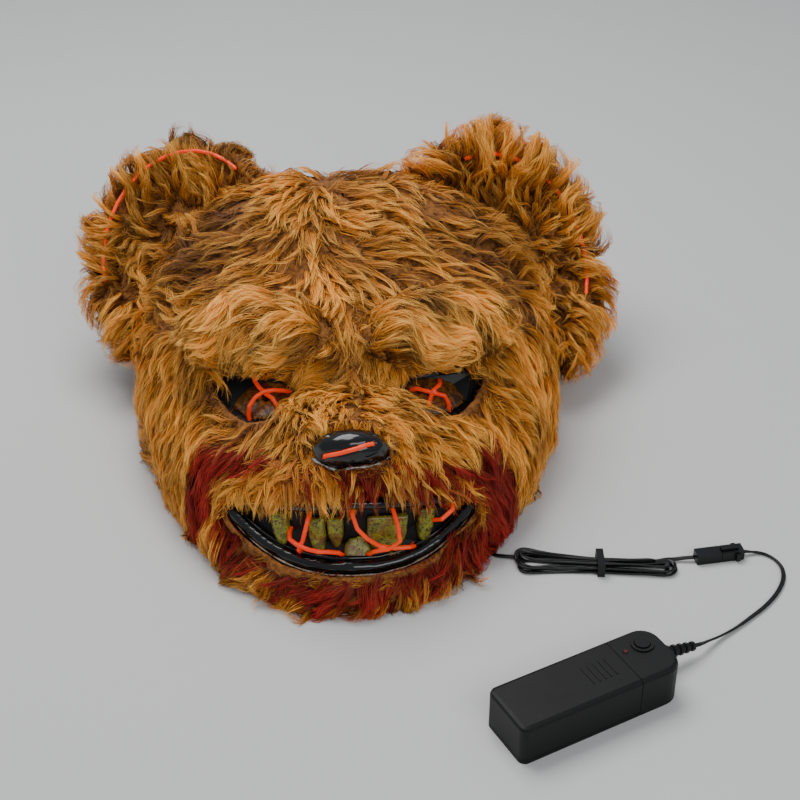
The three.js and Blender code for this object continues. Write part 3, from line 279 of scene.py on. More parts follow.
LEAD_BLACK = black_plastic("lead_black", (18, 18, 19), 0.32, grain=0.05)
CONNECTOR_BLACK = black_plastic("connector_black", (17, 17, 18), 0.36)
CASE_BLACK = black_plastic("case_black", (6, 6, 7), 0.52, grain=0.35, grain_scale=2200)
MOULDED_BLACK = black_plastic("moulded_black", (7, 7, 7), 0.5, grain=0.1, coat=0.08, grain_scale=900)
GLOSS_BLACK = black_plastic("gloss_black", (5, 5, 6), 0.2, grain=0.04, coat=0.6, grain_scale=500)
blacks = (LEAD_BLACK, CONNECTOR_BLACK, CASE_BLACK, MOULDED_BLACK, GLOSS_BLACK)
print("black plastics:", [material.name for material in blacks])

# %% [markdown]
# ## Shape helpers
# A lead, the strap and a bead of glue are each one profile swept along a smooth line.
# A sweep keeps its profile upright over the floor, so a flat twin lead can lie and roll as it should.
# Everything is made from plain lists of corners and faces, which keeps the meshes clean.


# %% Smooth lines, sweeps and new pieces
def add_piece(name, mesh, material, slot):
    """A mesh as a piece of the scene that rides on the mask's body."""
    mesh.materials.append(material)
    piece = bpy.data.objects.new(name, mesh)
    bpy.context.scene.collection.objects.link(piece)
    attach(piece, "root")
    return piece


def new_piece(name, corners, faces, material, slot):
    mesh = bpy.data.meshes.new(name)
    mesh.from_pydata([tuple(c) for c in corners], [], faces)
    mesh.polygons.foreach_set("use_smooth", [True] * len(mesh.polygons))
    return add_piece(name, mesh, material, slot)


BEND_STEPS = 24


def smooth_line(points, step):
    """A smooth curve through given points, cut into equal steps, and its length."""
    knots = np.array(points, float)
    ends = np.vstack([2 * knots[0] - knots[1], knots, 2 * knots[-1] - knots[-2]])
    fine = []
    for a, b, c, d in zip(ends, ends[1:], ends[2:], ends[3:]):
        for t in np.linspace(0, 1, BEND_STEPS, endpoint=False):
            bend = (2 * a - 5 * b + 4 * c - d) * t * t + (3 * b - a - 3 * c + d) * t**3
            fine.append((2 * b + (c - a) * t + bend) / 2)
    fine = np.array(fine + [knots[-1]])
    run = np.concatenate([[0], np.cumsum(np.linalg.norm(np.diff(fine, axis=0), axis=1))])
    at = np.linspace(0, run[-1], max(3, round(run[-1] / step)) + 1)
    return np.column_stack([np.interp(at, run, fine[:, k]) for k in range(3)]), float(run[-1])


def sweep(line, profile, roll=None, size=None):
    """Corners and faces of a profile swept along a line and closed at both ends."""
    ahead = np.gradient(line, axis=0)
    ahead /= np.linalg.norm(ahead, axis=1)[:, None]
    side = np.cross(ahead[0], (0, 0, 1)) if abs(ahead[0][2]) < 0.9 else np.array((1.0, 0, 0))
    corners = []
    for i, (point, along) in enumerate(zip(line, ahead)):
        fresh = np.cross(along, (0, 0, 1))
        flat = min(1, np.linalg.norm(fresh) * 2)
        side = side - along * np.dot(side, along)
        side = side / np.linalg.norm(side) * (1 - flat) + fresh * flat / max(1e-6, np.linalg.norm(fresh))
        side /= np.linalg.norm(side)
        up = np.cross(side, along)
        turn = roll[i] if roll is not None else 0
        scale = size[i] if size is not None else 1
        a, b = side * math.cos(turn) + up * math.sin(turn), up * math.cos(turn) - side * math.sin(turn)
        corners += [point + (a * x + b * y) * scale for x, y in profile]
    count = len(profile)
    faces = []
    for ring in range(len(line) - 1):
        for k in range(count):
            p, q = ring * count + k, ring * count + (k + 1) % count
            faces.append((p, q, q + count, p + count))
    last = (len(line) - 1) * count
    faces += [tuple(reversed(range(count))), tuple(range(last, last + count))]
    return corners, faces


def round_profile(radius, sides=12, flat=1.0):
    turns = [2 * math.pi * k / sides for k in range(sides)]
    return [(radius * math.cos(t), radius * flat * math.sin(t)) for t in turns]


print("shape helpers ready")

# %% [markdown]
# ## The lead
# A thin flat twin wire joins the light wires to the battery case: two insulated wires side by side.
# It leaves the mask under the jaw, and its spare length is folded into a hank held by a tie.
# From the hank it goes to a latching connector, and a second short lead goes on to the case.
# A twin profile with a waist is swept along the route, since a round tube would lose the two wires.

# %% The lead's route through the hank
LEAD_WIDTH = 2.6
WIRE_RADIUS = LEAD_WIDTH / 4
LEAD_STEP = 1.4
FROM_MASK = [
    (40, 712, 14), (40, 711.9, 10.5), (41, 708.5, 5), (44, 702, 1.6), (48, 696, 1.2), (51.5, 692, 1.2),
    (55.5, 688.5, 1.2),
]
TO_PLUG = [(142, 682.6, 2.6), (147.5, 684.6, 1.9), (152, 685, 1.7), (157, 685.3, 2.3), (163.2, 685.2, 3)]
HANK_MIDDLE = [(62, 684), (70, 683), (84, 681.5), (110, 679), (134, 677.6), (150, 677)]
TIE_X = 110
LEFT_X, RIGHT_X = 69, 147
# Each run of the hank: its place across the tie, and at the left and right folds, and its height
HANK_RUNS = [
    {"tie": 4.05, "left": 5.2, "right": 5.2, "up": 1.2},
    {"tie": -4.05, "left": -8.6, "right": -5.4, "up": 1.2},
    {"tie": 1.35, "left": 2.4, "right": 3.3, "up": 1.3},
    {"tie": -1.35, "left": -5.0, "right": -3.6, "up": 1.2},
    {"tie": 2.7, "left": 8.3, "right": 4.6, "up": 3.3},
    {"tie": -3.6, "left": -7.2, "right": -4.8, "up": 3.3},
    {"tie": 0.2, "left": 5.6, "right": 3.2, "up": 3.4},
    {"tie": -1.6, "left": -2.8, "right": -3.4, "up": 5.2},
    {"tie": 1.4, "left": 4.4, "right": 3.8, "up": 5.3},
]
FOLD_SHARE = 0.95
FOLD_STAGGER, STAGGERED_RUNS = 1.2, 4
POINTS_PER_RUN = 9


def hank_middle(x):
    return float(np.interp(x, [m[0] for m in HANK_MIDDLE], [m[1] for m in HANK_MIDDLE]))


def hank_run(run, rightwards, inset):
    """Points of one run of the hank, from fold to fold."""
    points = []
    for x in np.linspace(LEFT_X + inset, RIGHT_X - inset, POINTS_PER_RUN):
        out = (TIE_X - x) / (TIE_X - LEFT_X) if x < TIE_X else (x - TIE_X) / (RIGHT_X - TIE_X)
        bow = max(0, out) ** 1.6
        end = run["left"] if x < TIE_X else run["right"]
        points.append((x, hank_middle(x) + run["tie"] + (end - run["tie"]) * bow, run["up"]))
    return points if rightwards else points[::-1]


route = list(FROM_MASK)
for number, run in enumerate(HANK_RUNS):
    rightwards = number % 2 == 0
    inset = (number % STAGGERED_RUNS) * FOLD_STAGGER
    points = hank_run(run, rightwards, inset)
    if number == 0:
        points = points[1:]
    if number == len(HANK_RUNS) - 1:
        points = points[:-1]
    if number > 0:
        (x1, y1, z1), (x2, y2, z2) = route[-1], points[0]
        reach = abs(y2 - y1) / 2 * FOLD_SHARE * (-1 if rightwards else 1)
        for turn in (45, 90, 135):
            share = (1 - math.cos(math.radians(turn))) / 2
            route.append((
                x1 + (x2 - x1) * share + reach * math.sin(math.radians(turn)),
                y1 + (y2 - y1) * share, z1 + (z2 - z1) * share,
            ))
    route += points
route += TO_PLUG
lead_line, lead_length = smooth_line(on_plan(route), LEAD_STEP * MM)
print("lead from the mask to the connector:", round(lead_length, 3), "m,", len(lead_line), "rings")


# %% Sweep the two leads
WEB_ANGLE = 48
ARC_POINTS = 8


def twin_profile(radius):
    """Two round wires side by side, joined by a thin web."""
    left = [(-radius + radius * math.cos(t), radius * math.sin(t))
            for t in np.linspace(math.radians(WEB_ANGLE), math.radians(360 - WEB_ANGLE), ARC_POINTS)]
    right = [(radius + radius * math.cos(t), radius * math.sin(t))
             for t in np.linspace(math.radians(WEB_ANGLE - 180), math.radians(180 - WEB_ANGLE), ARC_POINTS)]
    return left + right


def twin_lead(name, line, turns, phase):
    """A lead that rolls a little from side to side along its way, and lies straight at its ends."""
    share = np.linspace(0, 1, len(line))
    roll = 0.75 * np.sin(share * turns + phase) + 0.3 * np.sin(share * turns * 2.3)
    roll *= np.clip(np.minimum(share, 1 - share) * 14, 0, 1)
    return new_piece(name, *sweep(line, twin_profile(WIRE_RADIUS * MM), roll), LEAD_BLACK, "lead_black")


CASE_TO_SOCKET = [
    (150.7, 609.35, 7.13), (154.1, 611.3, 6.4), (160.3, 616.6, 4.2), (167.5, 622.4, 2.2), (177, 630, 1.3),
    (186.5, 638.4, 1.2), (195.4, 647, 1.2), (203.2, 657, 1.2), (208.6, 667.5, 1.2), (210.2, 677, 1.2),
    (208.3, 684.6, 1.2), (203.8, 689.5, 1.2), (199, 691.2, 1.4), (194, 691, 2.2), (190.4, 690.3, 3),
]
case_line, case_length = smooth_line(on_plan(CASE_TO_SOCKET), LEAD_STEP * MM)
mask_lead = twin_lead("lead_with_hank", lead_line, turns=60, phase=0.4)
case_lead = twin_lead("lead_to_case", case_line, turns=5, phase=0.2)
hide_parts("lead_mask", "lead_hank", "lead_plug")
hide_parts("lead_case")
print("lead to the case:", round(case_length, 3), "m")

# %% [markdown]
# ## Floor and light
# The mask lies on a plain pale floor under one large soft light from above and a weaker one in front.
# Large area lights give the broad highlights that show on the lips and the nose.
# The floor is stage, so it stays out of the part.

# %% Floor, lights and world
FLOOR_HALF = 3.0
SKY_COLOUR, SKY_STRENGTH = (0.86, 0.9, 0.96, 1), 0.42
floor_finish = Finish("pale_floor", Base_Color=(0.62, 0.62, 0.61, 1), Roughness=0.85)
floor_mesh = bpy.data.meshes.new("floor")
floor_corners = [(x * FLOOR_HALF, y * FLOOR_HALF, 0) for x, y in ((-1, -1), (1, -1), (1, 1), (-1, 1))]
floor_mesh.from_pydata(floor_corners, [], [(0, 1, 2, 3)])
floor_mesh.materials.append(floor_finish.material)
floor = bpy.data.objects.new("floor", floor_mesh)
bpy.context.scene.collection.objects.link(floor)


def soft_light(name, place, aim, size, power):
    data = bpy.data.lights.new(name, "AREA")
    data.shape = "RECTANGLE"
    data.size, data.size_y = size
    data.energy = power
    light = bpy.data.objects.new(name, data)
    light.location = place
    light.rotation_euler = (Vector(aim) - Vector(place)).to_track_quat("-Z", "Y").to_euler()
    bpy.context.scene.collection.objects.link(light)


soft_light("overhead", place=(-0.25, 0.35, 1.15), aim=(0, 0, 0.05), size=(0.9, 0.7), power=13)
soft_light("front", place=(0.45, -0.95, 0.85), aim=(0, 0, 0.07), size=(0.8, 0.5), power=5)
world = bpy.data.worlds.new("studio")
world.use_nodes = True
sky = world.node_tree.nodes["Background"].inputs
sky["Color"].default_value = SKY_COLOUR
sky["Strength"].default_value = SKY_STRENGTH
bpy.context.scene.world = world
print("floor and 2 lights placed")

# %% [markdown]
# ## Softening a solid
# The CAD solids have few faces, so a remade piece starts as a copy that is remeshed finely and smoothed.
# That keeps the piece where its solid is and needs no second set of sizes.
# Smoothing takes a little off, and the copy grows back along its normals by a named amount.


# %% Remesh, smooth and grow
FLOOR_GAP = 0.2


def softened(node, voxel, rounds, grow):
    """Corners, normals and faces of a fine smooth copy of a CAD node, in metres."""
    copy = bpy.data.objects.new(node + "_copy", nodes[node].data.copy())
    bpy.context.scene.collection.objects.link(copy)
    remesh = copy.modifiers.new("remesh", "REMESH")
    remesh.mode = "VOXEL"
    remesh.voxel_size = voxel * MM
    smooth = copy.modifiers.new("smooth", "SMOOTH")
    smooth.iterations = rounds
    evaluated = copy.evaluated_get(bpy.context.evaluated_depsgraph_get())
    mesh = bpy.data.meshes.new_from_object(evaluated)
    corners = np.array([v.co for v in mesh.vertices])
    normals = np.array([v.normal for v in mesh.vertices])
    faces = [tuple(p.vertices) for p in mesh.polygons]
    bpy.data.objects.remove(copy)
    bpy.data.meshes.remove(mesh)
    return corners + normals * grow * MM, normals, faces


def soft_piece(node, name, material, slot, voxel, rounds, grow=0.0, change=None):
    """A softened copy that stands for its node. voxel and grow are in millimetres."""
    corners, normals, faces = softened(node, voxel, rounds, grow)
    if change:
        corners = change(corners, normals)
    corners[:, 2] = np.maximum(corners[:, 2], FLOOR_GAP * MM)
    piece = new_piece(name, corners, faces, material, slot)
    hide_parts(node)
    return piece


print("softening ready")

# %% [markdown]
# ## The mask's own frame
# The mask leans back on its rim and is turned a little.
# Its features are easier to place in its own frame, where x runs across the face, y goes back from it
# and z goes up the face, in millimetres.
# The two helpers turn points of the part's frame into it and back.

# %% Own frame of the mask
MASK_ON_PLAN = np.array([-28.5, 741.0, 83.05])
FACE_ORIGIN = MASK_ON_PLAN + np.array(plan_start) / MM
FACE_LEAN, FACE_TURN = 53, 2.6
turn = Matrix.Rotation(math.radians(FACE_TURN), 3, "Z")
lean = math.radians(FACE_LEAN)
FACE_AXES = np.array([
    turn @ Vector((1, 0, 0)),
    turn @ Vector((0, math.cos(lean), -math.sin(lean))),
    turn @ Vector((0, math.sin(lean), math.cos(lean))),
])


def to_face(points):
    return (np.asarray(points) / MM - FACE_ORIGIN) @ FACE_AXES.T


def from_face(points):
    return (np.asarray(points) @ FACE_AXES + FACE_ORIGIN) * MM


nose_low, nose_high = (np.array(c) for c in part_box("nose"))
print("nose in the mask's frame:", to_face((nose_low + nose_high) / 2).round(1))

# %% [markdown]
# ## Fur colour
# The fur is a golden brown pile: dark where it grows, warm along its length and pale at the tips.
# Each strand carries its place from root to tip and its own tone in a UV map, and the material reads
# only that.
# A red paint has been brushed over the fur round the mouth, so the map's row also says how stained a
# strand is.

# %% Strand colour group
STAIN_ROWS = 4
BODY_FROM, STAIN_TIP_FROM = 0.42, 0.3
TONES = [(0.0, (0.16, 0.13, 0.1, 1)), (0.25, (0.56, 0.52, 0.47, 1)), (0.5, (0.96, 0.94, 0.9, 1)),
         (1.0, (1.6, 1.6, 1.55, 1))]
strand, shades, wanted = shader_group(
    "strand_colour",
    [(label, COLOUR, (0.5, 0.3, 0.1, 1)) for label in ("Root", "Body", "Tip", "Stain", "Stain Tip")],
    [("Color", COLOUR)],
)
strand_map = strand.node("ShaderNodeUVMap", uv_map="OFBake")
split = strand.node("ShaderNodeSeparateXYZ", {"Vector": strand_map.outputs["UV"]})
along = split.outputs["X"]
row_and_tone = strand.maths("MULTIPLY", split.outputs["Y"], STAIN_ROWS)
tone = strand.maths("FRACT", row_and_tone)
stained = strand.maths("DIVIDE", strand.maths("FLOOR", row_and_tone), STAIN_ROWS - 1)
clean = strand.mix(strand.spread(along, 0, BODY_FROM, kind="SMOOTHSTEP"), shades["Root"], shades["Body"])
clean = strand.mix(strand.spread(along, BODY_FROM, 1, kind="SMOOTHSTEP"), clean, shades["Tip"])
red = strand.spread(along, STAIN_TIP_FROM, 1, kind="SMOOTHSTEP")
red = strand.mix(red, shades["Stain"], shades["Stain Tip"])
brushed = strand.maths("MULTIPLY", stained, strand.spread(along, 0, 1, 0.85, 1.0))
both = strand.mix(brushed, clean, red)
strand.join(strand.mix(1.0, both, strand.ramp(tone, TONES, smooth=False), "MULTIPLY"), wanted["Color"])
STRAND_COLOUR = strand.tree
print("group strand_colour:", len(STRAND_COLOUR.nodes), "nodes")


# %% Fur materials
def fur_material(name, root, body, tip):
    finish = Finish(name, Roughness=0.6, Specular_IOR_Level=0.25)
    shade = finish.group(STRAND_COLOUR, {
        "Root": root, "Body": body, "Tip": tip,
        "Stain": colour(112, 0, 10), "Stain Tip": colour(168, 6, 24),
    })
    finish.feed("Base Color", shade.outputs["Color"])
    return finish.material


FUR = fur_material("fur", colour(66, 30, 6), colour(196, 122, 38), colour(252, 192, 90))
BROW_FUR = fur_material("brow_fur", colour(66, 30, 6), colour(204, 130, 42), colour(255, 200, 102))
print("fur materials:", FUR.name, BROW_FUR.name)


# %% Fur backing material
def lumpy_material(name, dark, light, scale, roughness, strength, distance, coat=0.0):
    finish = Finish(name, Roughness=roughness, Coat_Weight=coat)
    surface = finish.group(LUMPS, {"Dark": dark, "Light": light, "Scale": scale})
    finish.feed("Base Color", surface.outputs["Color"])
    finish.bump(surface.outputs["Height"], strength, distance)
    return finish.material


# The cloth is real, and part of its brown is painted shade: it is kept darker than the pile's body so gaps
# between locks look shaded.
BACKING = lumpy_material("fur_backing", colour(88, 50, 14), colour(160, 98, 32), scale=420, roughness=0.9,
                         strength=0.8, distance=0.001)
print("backing material:", BACKING.name)

# %% [markdown]
# ## The fur's skin
# The CAD coat is the outer form of the pile, so the cloth that the pile grows from lies some
# millimetres inside.
# A smooth copy of each furry solid is moved inwards on its outer side to become that cloth.
# The strands then stand on it and reach back up to the form that the solid has.

# %% Skins of the coat, the brows and the ears
COAT_INSET, BROW_INSET, EAR_INSET = 7.0, 3.6, 3.5
HEAD_MIDDLE = np.array([0, 60, 15.0])


def inset_from(middle, depth):
    """A change that moves the side facing away from a middle point inwards."""
    def change(corners, normals):
        out = to_face(corners) - middle
        out /= np.linalg.norm(out, axis=1)[:, None]
        facing = np.clip((np.sum((normals @ FACE_AXES.T) * out, axis=1) - 0.1) / 0.6, 0, 1)
        return corners - normals * (facing * depth * MM)[:, None]
    return change


def inset_all(depth):
    return lambda corners, normals: corners - normals * depth * MM


RIM_HEIGHT, RIM_BINS = 32, 60
RIM_SIDE = 4
RIM_MIDDLE = FACE_ORIGIN[:2] + (0, 20)


def coat_change(corners, normals):
    """Inwards on the outer side, and no lock of the solid left standing out from the rim."""
    corners = inset_from(HEAD_MIDDLE, COAT_INSET)(corners, normals)
    plan = corners[:, :2] - RIM_MIDDLE * MM
    radius = np.linalg.norm(plan, axis=1)
    part = ((np.arctan2(plan[:, 1], plan[:, 0]) / math.tau + 0.5) * RIM_BINS).astype(int) % RIM_BINS
    low = corners[:, 2] < RIM_HEIGHT * MM
    reach = np.array([radius[low & (part == k)].max(initial=0) for k in range(RIM_BINS)])
    level = np.array([np.median(np.roll(reach, RIM_SIDE - k)[:2 * RIM_SIDE + 1]) for k in range(RIM_BINS)])
    share = np.where(low, np.minimum(1, (level[part] + 1 * MM) / np.maximum(radius, 1 * MM)), 1)
    corners[:, :2] += plan * (share - 1)[:, None]
    return corners


skins = {"coat_skin": soft_piece("face_fur", "coat_skin", BACKING, "fur", voxel=5.2, rounds=6,
                                 change=coat_change)}
for side in ("left", "right"):
    skins["brow_" + side] = soft_piece("brow_" + side, "brow_pad_" + side, BACKING, "brow_fur", voxel=3.6,
                                       rounds=6, change=inset_all(BROW_INSET))
    skins["ear_" + side] = soft_piece("ear_" + side, "ear_skin_" + side, BACKING, "fur", voxel=5, rounds=6,
                                      change=inset_all(EAR_INSET))
print({name: len(skin.data.polygons) for name, skin in skins.items()})

# %% [markdown]
# ## Growing the fur
# Real pile is thousands of fibres that cling together in locks, so the fur is grown in two steps.
# Guides are combed over the skin first: each starts at a root, follows the comb's direction and lifts
# off the cloth.
# Strands then gather round each guide and close in on its tip, which makes pointed locks with dark gaps.
# Each strand is a thin tapering ribbon of two to four pieces. A round hair would cost many more faces.


# %% Roots and guides
GUIDE_STEPS = 7
WAVES = 10
rng = np.random.default_rng(11)
wander_waves = rng.normal(0, 1, (WAVES, 3))
wander_phase = rng.uniform(0, 2 * math.pi, WAVES)


def wander(points, size):
    """A smooth random number, about -1 to 1, that changes over size millimetres of the mask's frame."""
    waves = np.sin(points @ wander_waves.T * (2.2 / size) + wander_phase + size)
    return waves.sum(axis=1) / math.sqrt(WAVES) * 1.1


def scatter_roots(skin, count, keep):
    """Random points on a skin, evenly by area, with their normals, where keep allows them."""
    mesh = skin.data
    mesh.calc_loop_triangles()
    corners = np.array([v.co for v in mesh.vertices])
    normals = np.array([v.normal for v in mesh.vertices])
    triangles = np.array([t.vertices for t in mesh.loop_triangles])
    a, b, c = (corners[triangles[:, k]] for k in range(3))
    middle_normal = normals[triangles].mean(axis=1)
    area = np.linalg.norm(np.cross(b - a, c - a), axis=1)
    area *= keep(to_face((a + b + c) / 3), middle_normal)
    pick = rng.choice(len(triangles), count, p=area / area.sum())
    u, v = rng.uniform(0, 1, (2, count))
    fold = u + v > 1
    u[fold], v[fold] = 1 - u[fold], 1 - v[fold]
    roots = a[pick] + (b - a)[pick] * u[:, None] + (c - a)[pick] * v[:, None]
    n = middle_normal[pick]
    return roots, n / np.linalg.norm(n, axis=1)[:, None]


def unit(vectors):
    return vectors / np.maximum(1e-9, np.linalg.norm(vectors, axis=-1, keepdims=True))


def surface_tree(mesh):
    """A search tree for the nearest point of a mesh, or the first that a ray meets."""
    return BVHTree.FromPolygons([v.co for v in mesh.vertices], [p.vertices for p in mesh.polygons])


def comb_guides(skin, roots, normals, comb, length, lift, wave, overhang, stray):
    """Guides combed over the skin. length, lift, wave and overhang are millimetres, one for each guide."""
    tree = surface_tree(skin.data)
    count = len(roots)
    path = np.zeros((count, GUIDE_STEPS + 1, 3))
    outward = np.zeros_like(path)
    path[:, 0], outward[:, 0] = roots - normals * 0.6 * MM, normals
    walk, n = roots.copy(), normals.copy()
    phase = rng.uniform(0, 2 * math.pi, count)
    turns = rng.uniform(0.7, 1.5, count)
    astray = rng.normal(0, stray, count)[:, None]
    reach = np.full(count, float(GUIDE_STEPS))
    hang_share = rng.uniform(0.3, 1.0, count)
    step = length[:, None] / GUIDE_STEPS * MM
    for k in range(1, GUIDE_STEPS + 1):
        share = k / GUIDE_STEPS
        ahead = comb(to_face(walk)) @ FACE_AXES
        ahead = unit(ahead - n * np.sum(ahead * n, axis=1)[:, None])
        ahead = ahead * np.cos(astray) + np.cross(n, ahead) * np.sin(astray)
        walk = walk + ahead * step
        foot = np.zeros_like(walk)
        for i, point in enumerate(walk):
            found = tree.find_nearest(Vector(point))
            foot[i], n[i] = found[0], found[1]
        n = unit(n * 0.5 + outward[:, k - 1] * 0.5)
        hang = walk - foot
        hang -= n * np.sum(hang * n, axis=1)[:, None]
        far = np.linalg.norm(hang, axis=1) > overhang * hang_share * MM
        reach = np.where(far & (reach > k), k, reach)
        walk = foot + hang
        walk[:, 2] = np.maximum(walk[:, 2], FLOOR_GAP * MM)
        swing = wave * np.sin(phase + turns * 2 * math.pi * share) * share
        sideways = np.cross(ahead, n) * swing[:, None] * MM
        height = lift * (1 - (1 - share) ** 2.0) * (1 - 0.35 * share**3)
        path[:, k] = walk + n * height[:, None] * MM + sideways
        outward[:, k] = n
    return path, outward, reach / GUIDE_STEPS


print("guides ready")


# %% Lines of the strands
STRAY_SHARE = 0.12
FRIZZ = 0.55


def strand_lines(guides, per_guide, spread, pinch, parts):
    """The line of each strand, the way out of the cloth along it, and the guide that it belongs to."""
    path, outward, reach = guides
    count = len(path) * per_guide
    of = np.repeat(np.arange(len(path)), per_guide)
    ahead = unit(path[of, 2] - path[of, 0])
    across = unit(np.cross(ahead, outward[of, 0]))
    angle = rng.uniform(0, 2 * math.pi, count)
    radius = np.sqrt(rng.uniform(0, 1, count)) * spread[of] * MM
    offset = across * (radius * np.cos(angle))[:, None] + ahead * (radius * np.sin(angle) * 1.3)[:, None]
    stop = reach[of] * rng.uniform(0.62, 1.0, count)
    squeeze = np.clip(pinch * rng.uniform(0.75, 1.12, count), 0, 0.98)
    stray = rng.uniform(0, 1, count) < STRAY_SHARE
    squeeze[stray] *= 0.3
    frizz_a, frizz_b = rng.normal(0, FRIZZ * MM, (2, count))
    frizz_a[stray] *= 2.5
    frizz_b[stray] *= 2.5
    line = np.zeros((count, parts + 1, 3))
    up = np.zeros_like(line)
    for k, share in enumerate(np.arange(parts + 1) / parts):
        at = np.clip(stop * share * GUIDE_STEPS, 0, GUIDE_STEPS - 1e-6)
        low = at.astype(int)
        part = (at - low)[:, None]
        base = path[of, low] * (1 - part) + path[of, low + 1] * part
        up[:, k] = outward[of, low]
        gather = (1 - squeeze * share**0.8)[:, None]
        curl = across * (frizz_a * math.sin(3.3 * share))[:, None] + up[:, k] * (frizz_b * share)[:, None]
        line[:, k] = base + offset * gather + curl
    line[:, :, 2] = np.maximum(line[:, :, 2], 2 * FLOOR_GAP * MM)
    return line, up, of


print("share of stray strands:", STRAY_SHARE)


# %% Ribbons along the lines
STRAND_WIDTH = 0.39


def ribbon_corners(line, up):
    """Corners of a tapering ribbon along each line, in pairs from the root on, with one at the tip."""
    count, rings = line.shape[:2]
    along = unit(np.gradient(line, axis=1))
    side = unit(np.cross(along, up))
    roll = rng.normal(0, 0.5, count)[:, None, None]
    side = side * np.cos(roll) + np.cross(along, side) * np.sin(roll)
    half = STRAND_WIDTH * rng.uniform(0.75, 1.2, count) / 2 * MM
    shares = np.arange(rings) / (rings - 1)
    taper = (1 - shares**2.2 * 0.8)[None, :, None] * half[:, None, None]
    left, right = line - side * taper, line + side * taper
    corners = np.zeros((count, 2 * rings - 1, 3))
    corners[:, 0:-1:2], corners[:, 1:-1:2] = left[:, :-1], right[:, :-1]
    corners[:, -1] = line[:, -1]
    return corners


print("strand width:", STRAND_WIDTH, "mm")


# %% One mesh of ribbons with its map
MAP_HALF_WIDTH = 0.006


def ribbon_mesh(name, corners, row_place):
    """All ribbons in one mesh, with a map of how far along each strand goes and of its row and tone."""
    count, last = len(corners), corners.shape[1] - 1
    parts = last // 2
    quads = [(2 * k, 2 * k + 1, 2 * k + 3, 2 * k + 2) for k in range(parts - 1)]
    pattern = np.array([v for quad in quads for v in quad] + [last - 2, last - 1, last])
    loops = (pattern[None, :] + (np.arange(count) * (last + 1))[:, None]).ravel()
    sizes = np.tile([4] * len(quads) + [3], count)
    mesh = bpy.data.meshes.new(name)
    mesh.vertices.add(count * (last + 1))
    mesh.vertices.foreach_set("co", corners.ravel().astype(np.float32))
    mesh.loops.add(len(loops))
    mesh.loops.foreach_set("vertex_index", loops.astype(np.int32))
    mesh.polygons.add(len(sizes))
    mesh.polygons.foreach_set("loop_start", (np.cumsum(sizes) - sizes).astype(np.int32))
    mesh.polygons.foreach_set("use_smooth", np.ones(len(sizes), bool))
    along = np.array([k // 2 / parts for k in range(last)] + [1.0])
    across = np.array([-1, 1] * parts + [0.0]) * MAP_HALF_WIDTH
    uv = np.zeros((count, len(pattern), 2))
    uv[:, :, 0] = (along[pattern] * 0.98 + 0.01)[None, :]
    uv[:, :, 1] = row_place[:, None] + across[pattern][None, :]
    mesh.uv_layers.new(name="OFBake").data.foreach_set("uv", uv.ravel().astype(np.float32))
    mesh.update(calc_edges=True)
    return mesh


def grow_strands(name, guides, finish, per_guide, spread, pinch, tone, stain, parts=4):
    """A piece of strands round its guides. spread, tone and stain have one number for each guide."""
    line, up, of = strand_lines(guides, per_guide, spread, pinch, parts)
    corners = ribbon_corners(line, up)
    row = np.round(stain[of] * (STAIN_ROWS - 1) + rng.uniform(-0.4, 0.4, len(of)))
    row = np.clip(row, 0, STAIN_ROWS - 1)
    own_tone = np.clip(tone[of] + rng.normal(0, 0.17, len(of)), 0.04, 0.96)
    add_piece(name, ribbon_mesh(name, corners, (row + own_tone) / STAIN_ROWS), *finish)
    print(name, len(of), "strands,", len(of) * (2 * parts - 1), "triangles")


print("map half width of a strand:", MAP_HALF_WIDTH)

# %% [markdown]
# ## How the fur is combed
# The comb's direction changes over the face, and that is what gives a furry face its expression.
# The forehead and the brows are combed outwards from a parting, and the bridge down towards the nose.
# The cheeks go outwards and down, and the chin to both sides.
# Slow random turns keep it from looking drawn with a ruler.


# %% Comb direction over the face
def ease(value, low, high):
    t = np.clip((value - low) / (high - low), 0, 1)
    return t * t * (3 - 2 * t)


def turned(x, z, angle):
    return x * np.cos(angle) - z * np.sin(angle), x * np.sin(angle) + z * np.cos(angle)


def by_the_ear(p):
    """1 where the coat runs into an ear and its pile is matted like the ear's, 0 elsewhere."""
    return ease(np.abs(p[:, 0]), 60, 88) * ease(p[:, 2], 38, 66)


def off_parting(p):
    """How far a point is from the forehead's slanting parting, in millimetres."""
    return p[:, 0] + 8 + 0.25 * (p[:, 2] - 90)


def comb_face(p):
    x, z = p[:, 0], p[:, 2]
    side = np.tanh(x / 14)
    forehead = ease(z, 28, 52)
    chin = ease(-z, 84, 108)
    bridge = (1 - ease(np.abs(x), 22, 44)) * (1 - forehead)
    right = ease(x, 10, 60)
    parting = np.tanh((off_parting(p) + 15 * wander(p, 38)) / 30)
    go_x = forehead * parting + (1 - forehead) * side * (0.95 - 0.45 * right)
    go_z = forehead * (-0.3 - 0.5 * (1 - np.abs(parting)) + 1.0 * ease(z, 130, 150))
    go_z += (1 - forehead) * (-0.6 - 0.4 * right)
    go_x = go_x * (1 - bridge) + bridge * side * 0.55
    go_z = go_z * (1 - bridge) - bridge * 1.0
    go_x = go_x * (1 - chin) + chin * (np.tanh((x - 38) / 30) * 0.9 - 0.1)
    go_z = go_z * (1 - chin) - chin * 0.6
    near_ear = by_the_ear(p)
    go_x = go_x * (1 - near_ear) + near_ear * np.sign(x)
    go_z = go_z * (1 - near_ear) + near_ear * 0.1
    swirl = 0.45 * wander(p, 34) + 0.22 * wander(p, 14)
    swirl += near_ear * (0.8 * wander(p, 19) + 0.5 * wander(p, 8))
    go_x, go_z = turned(go_x, go_z, swirl)
    return np.column_stack([go_x, 0.2 * np.ones(len(p)), go_z])


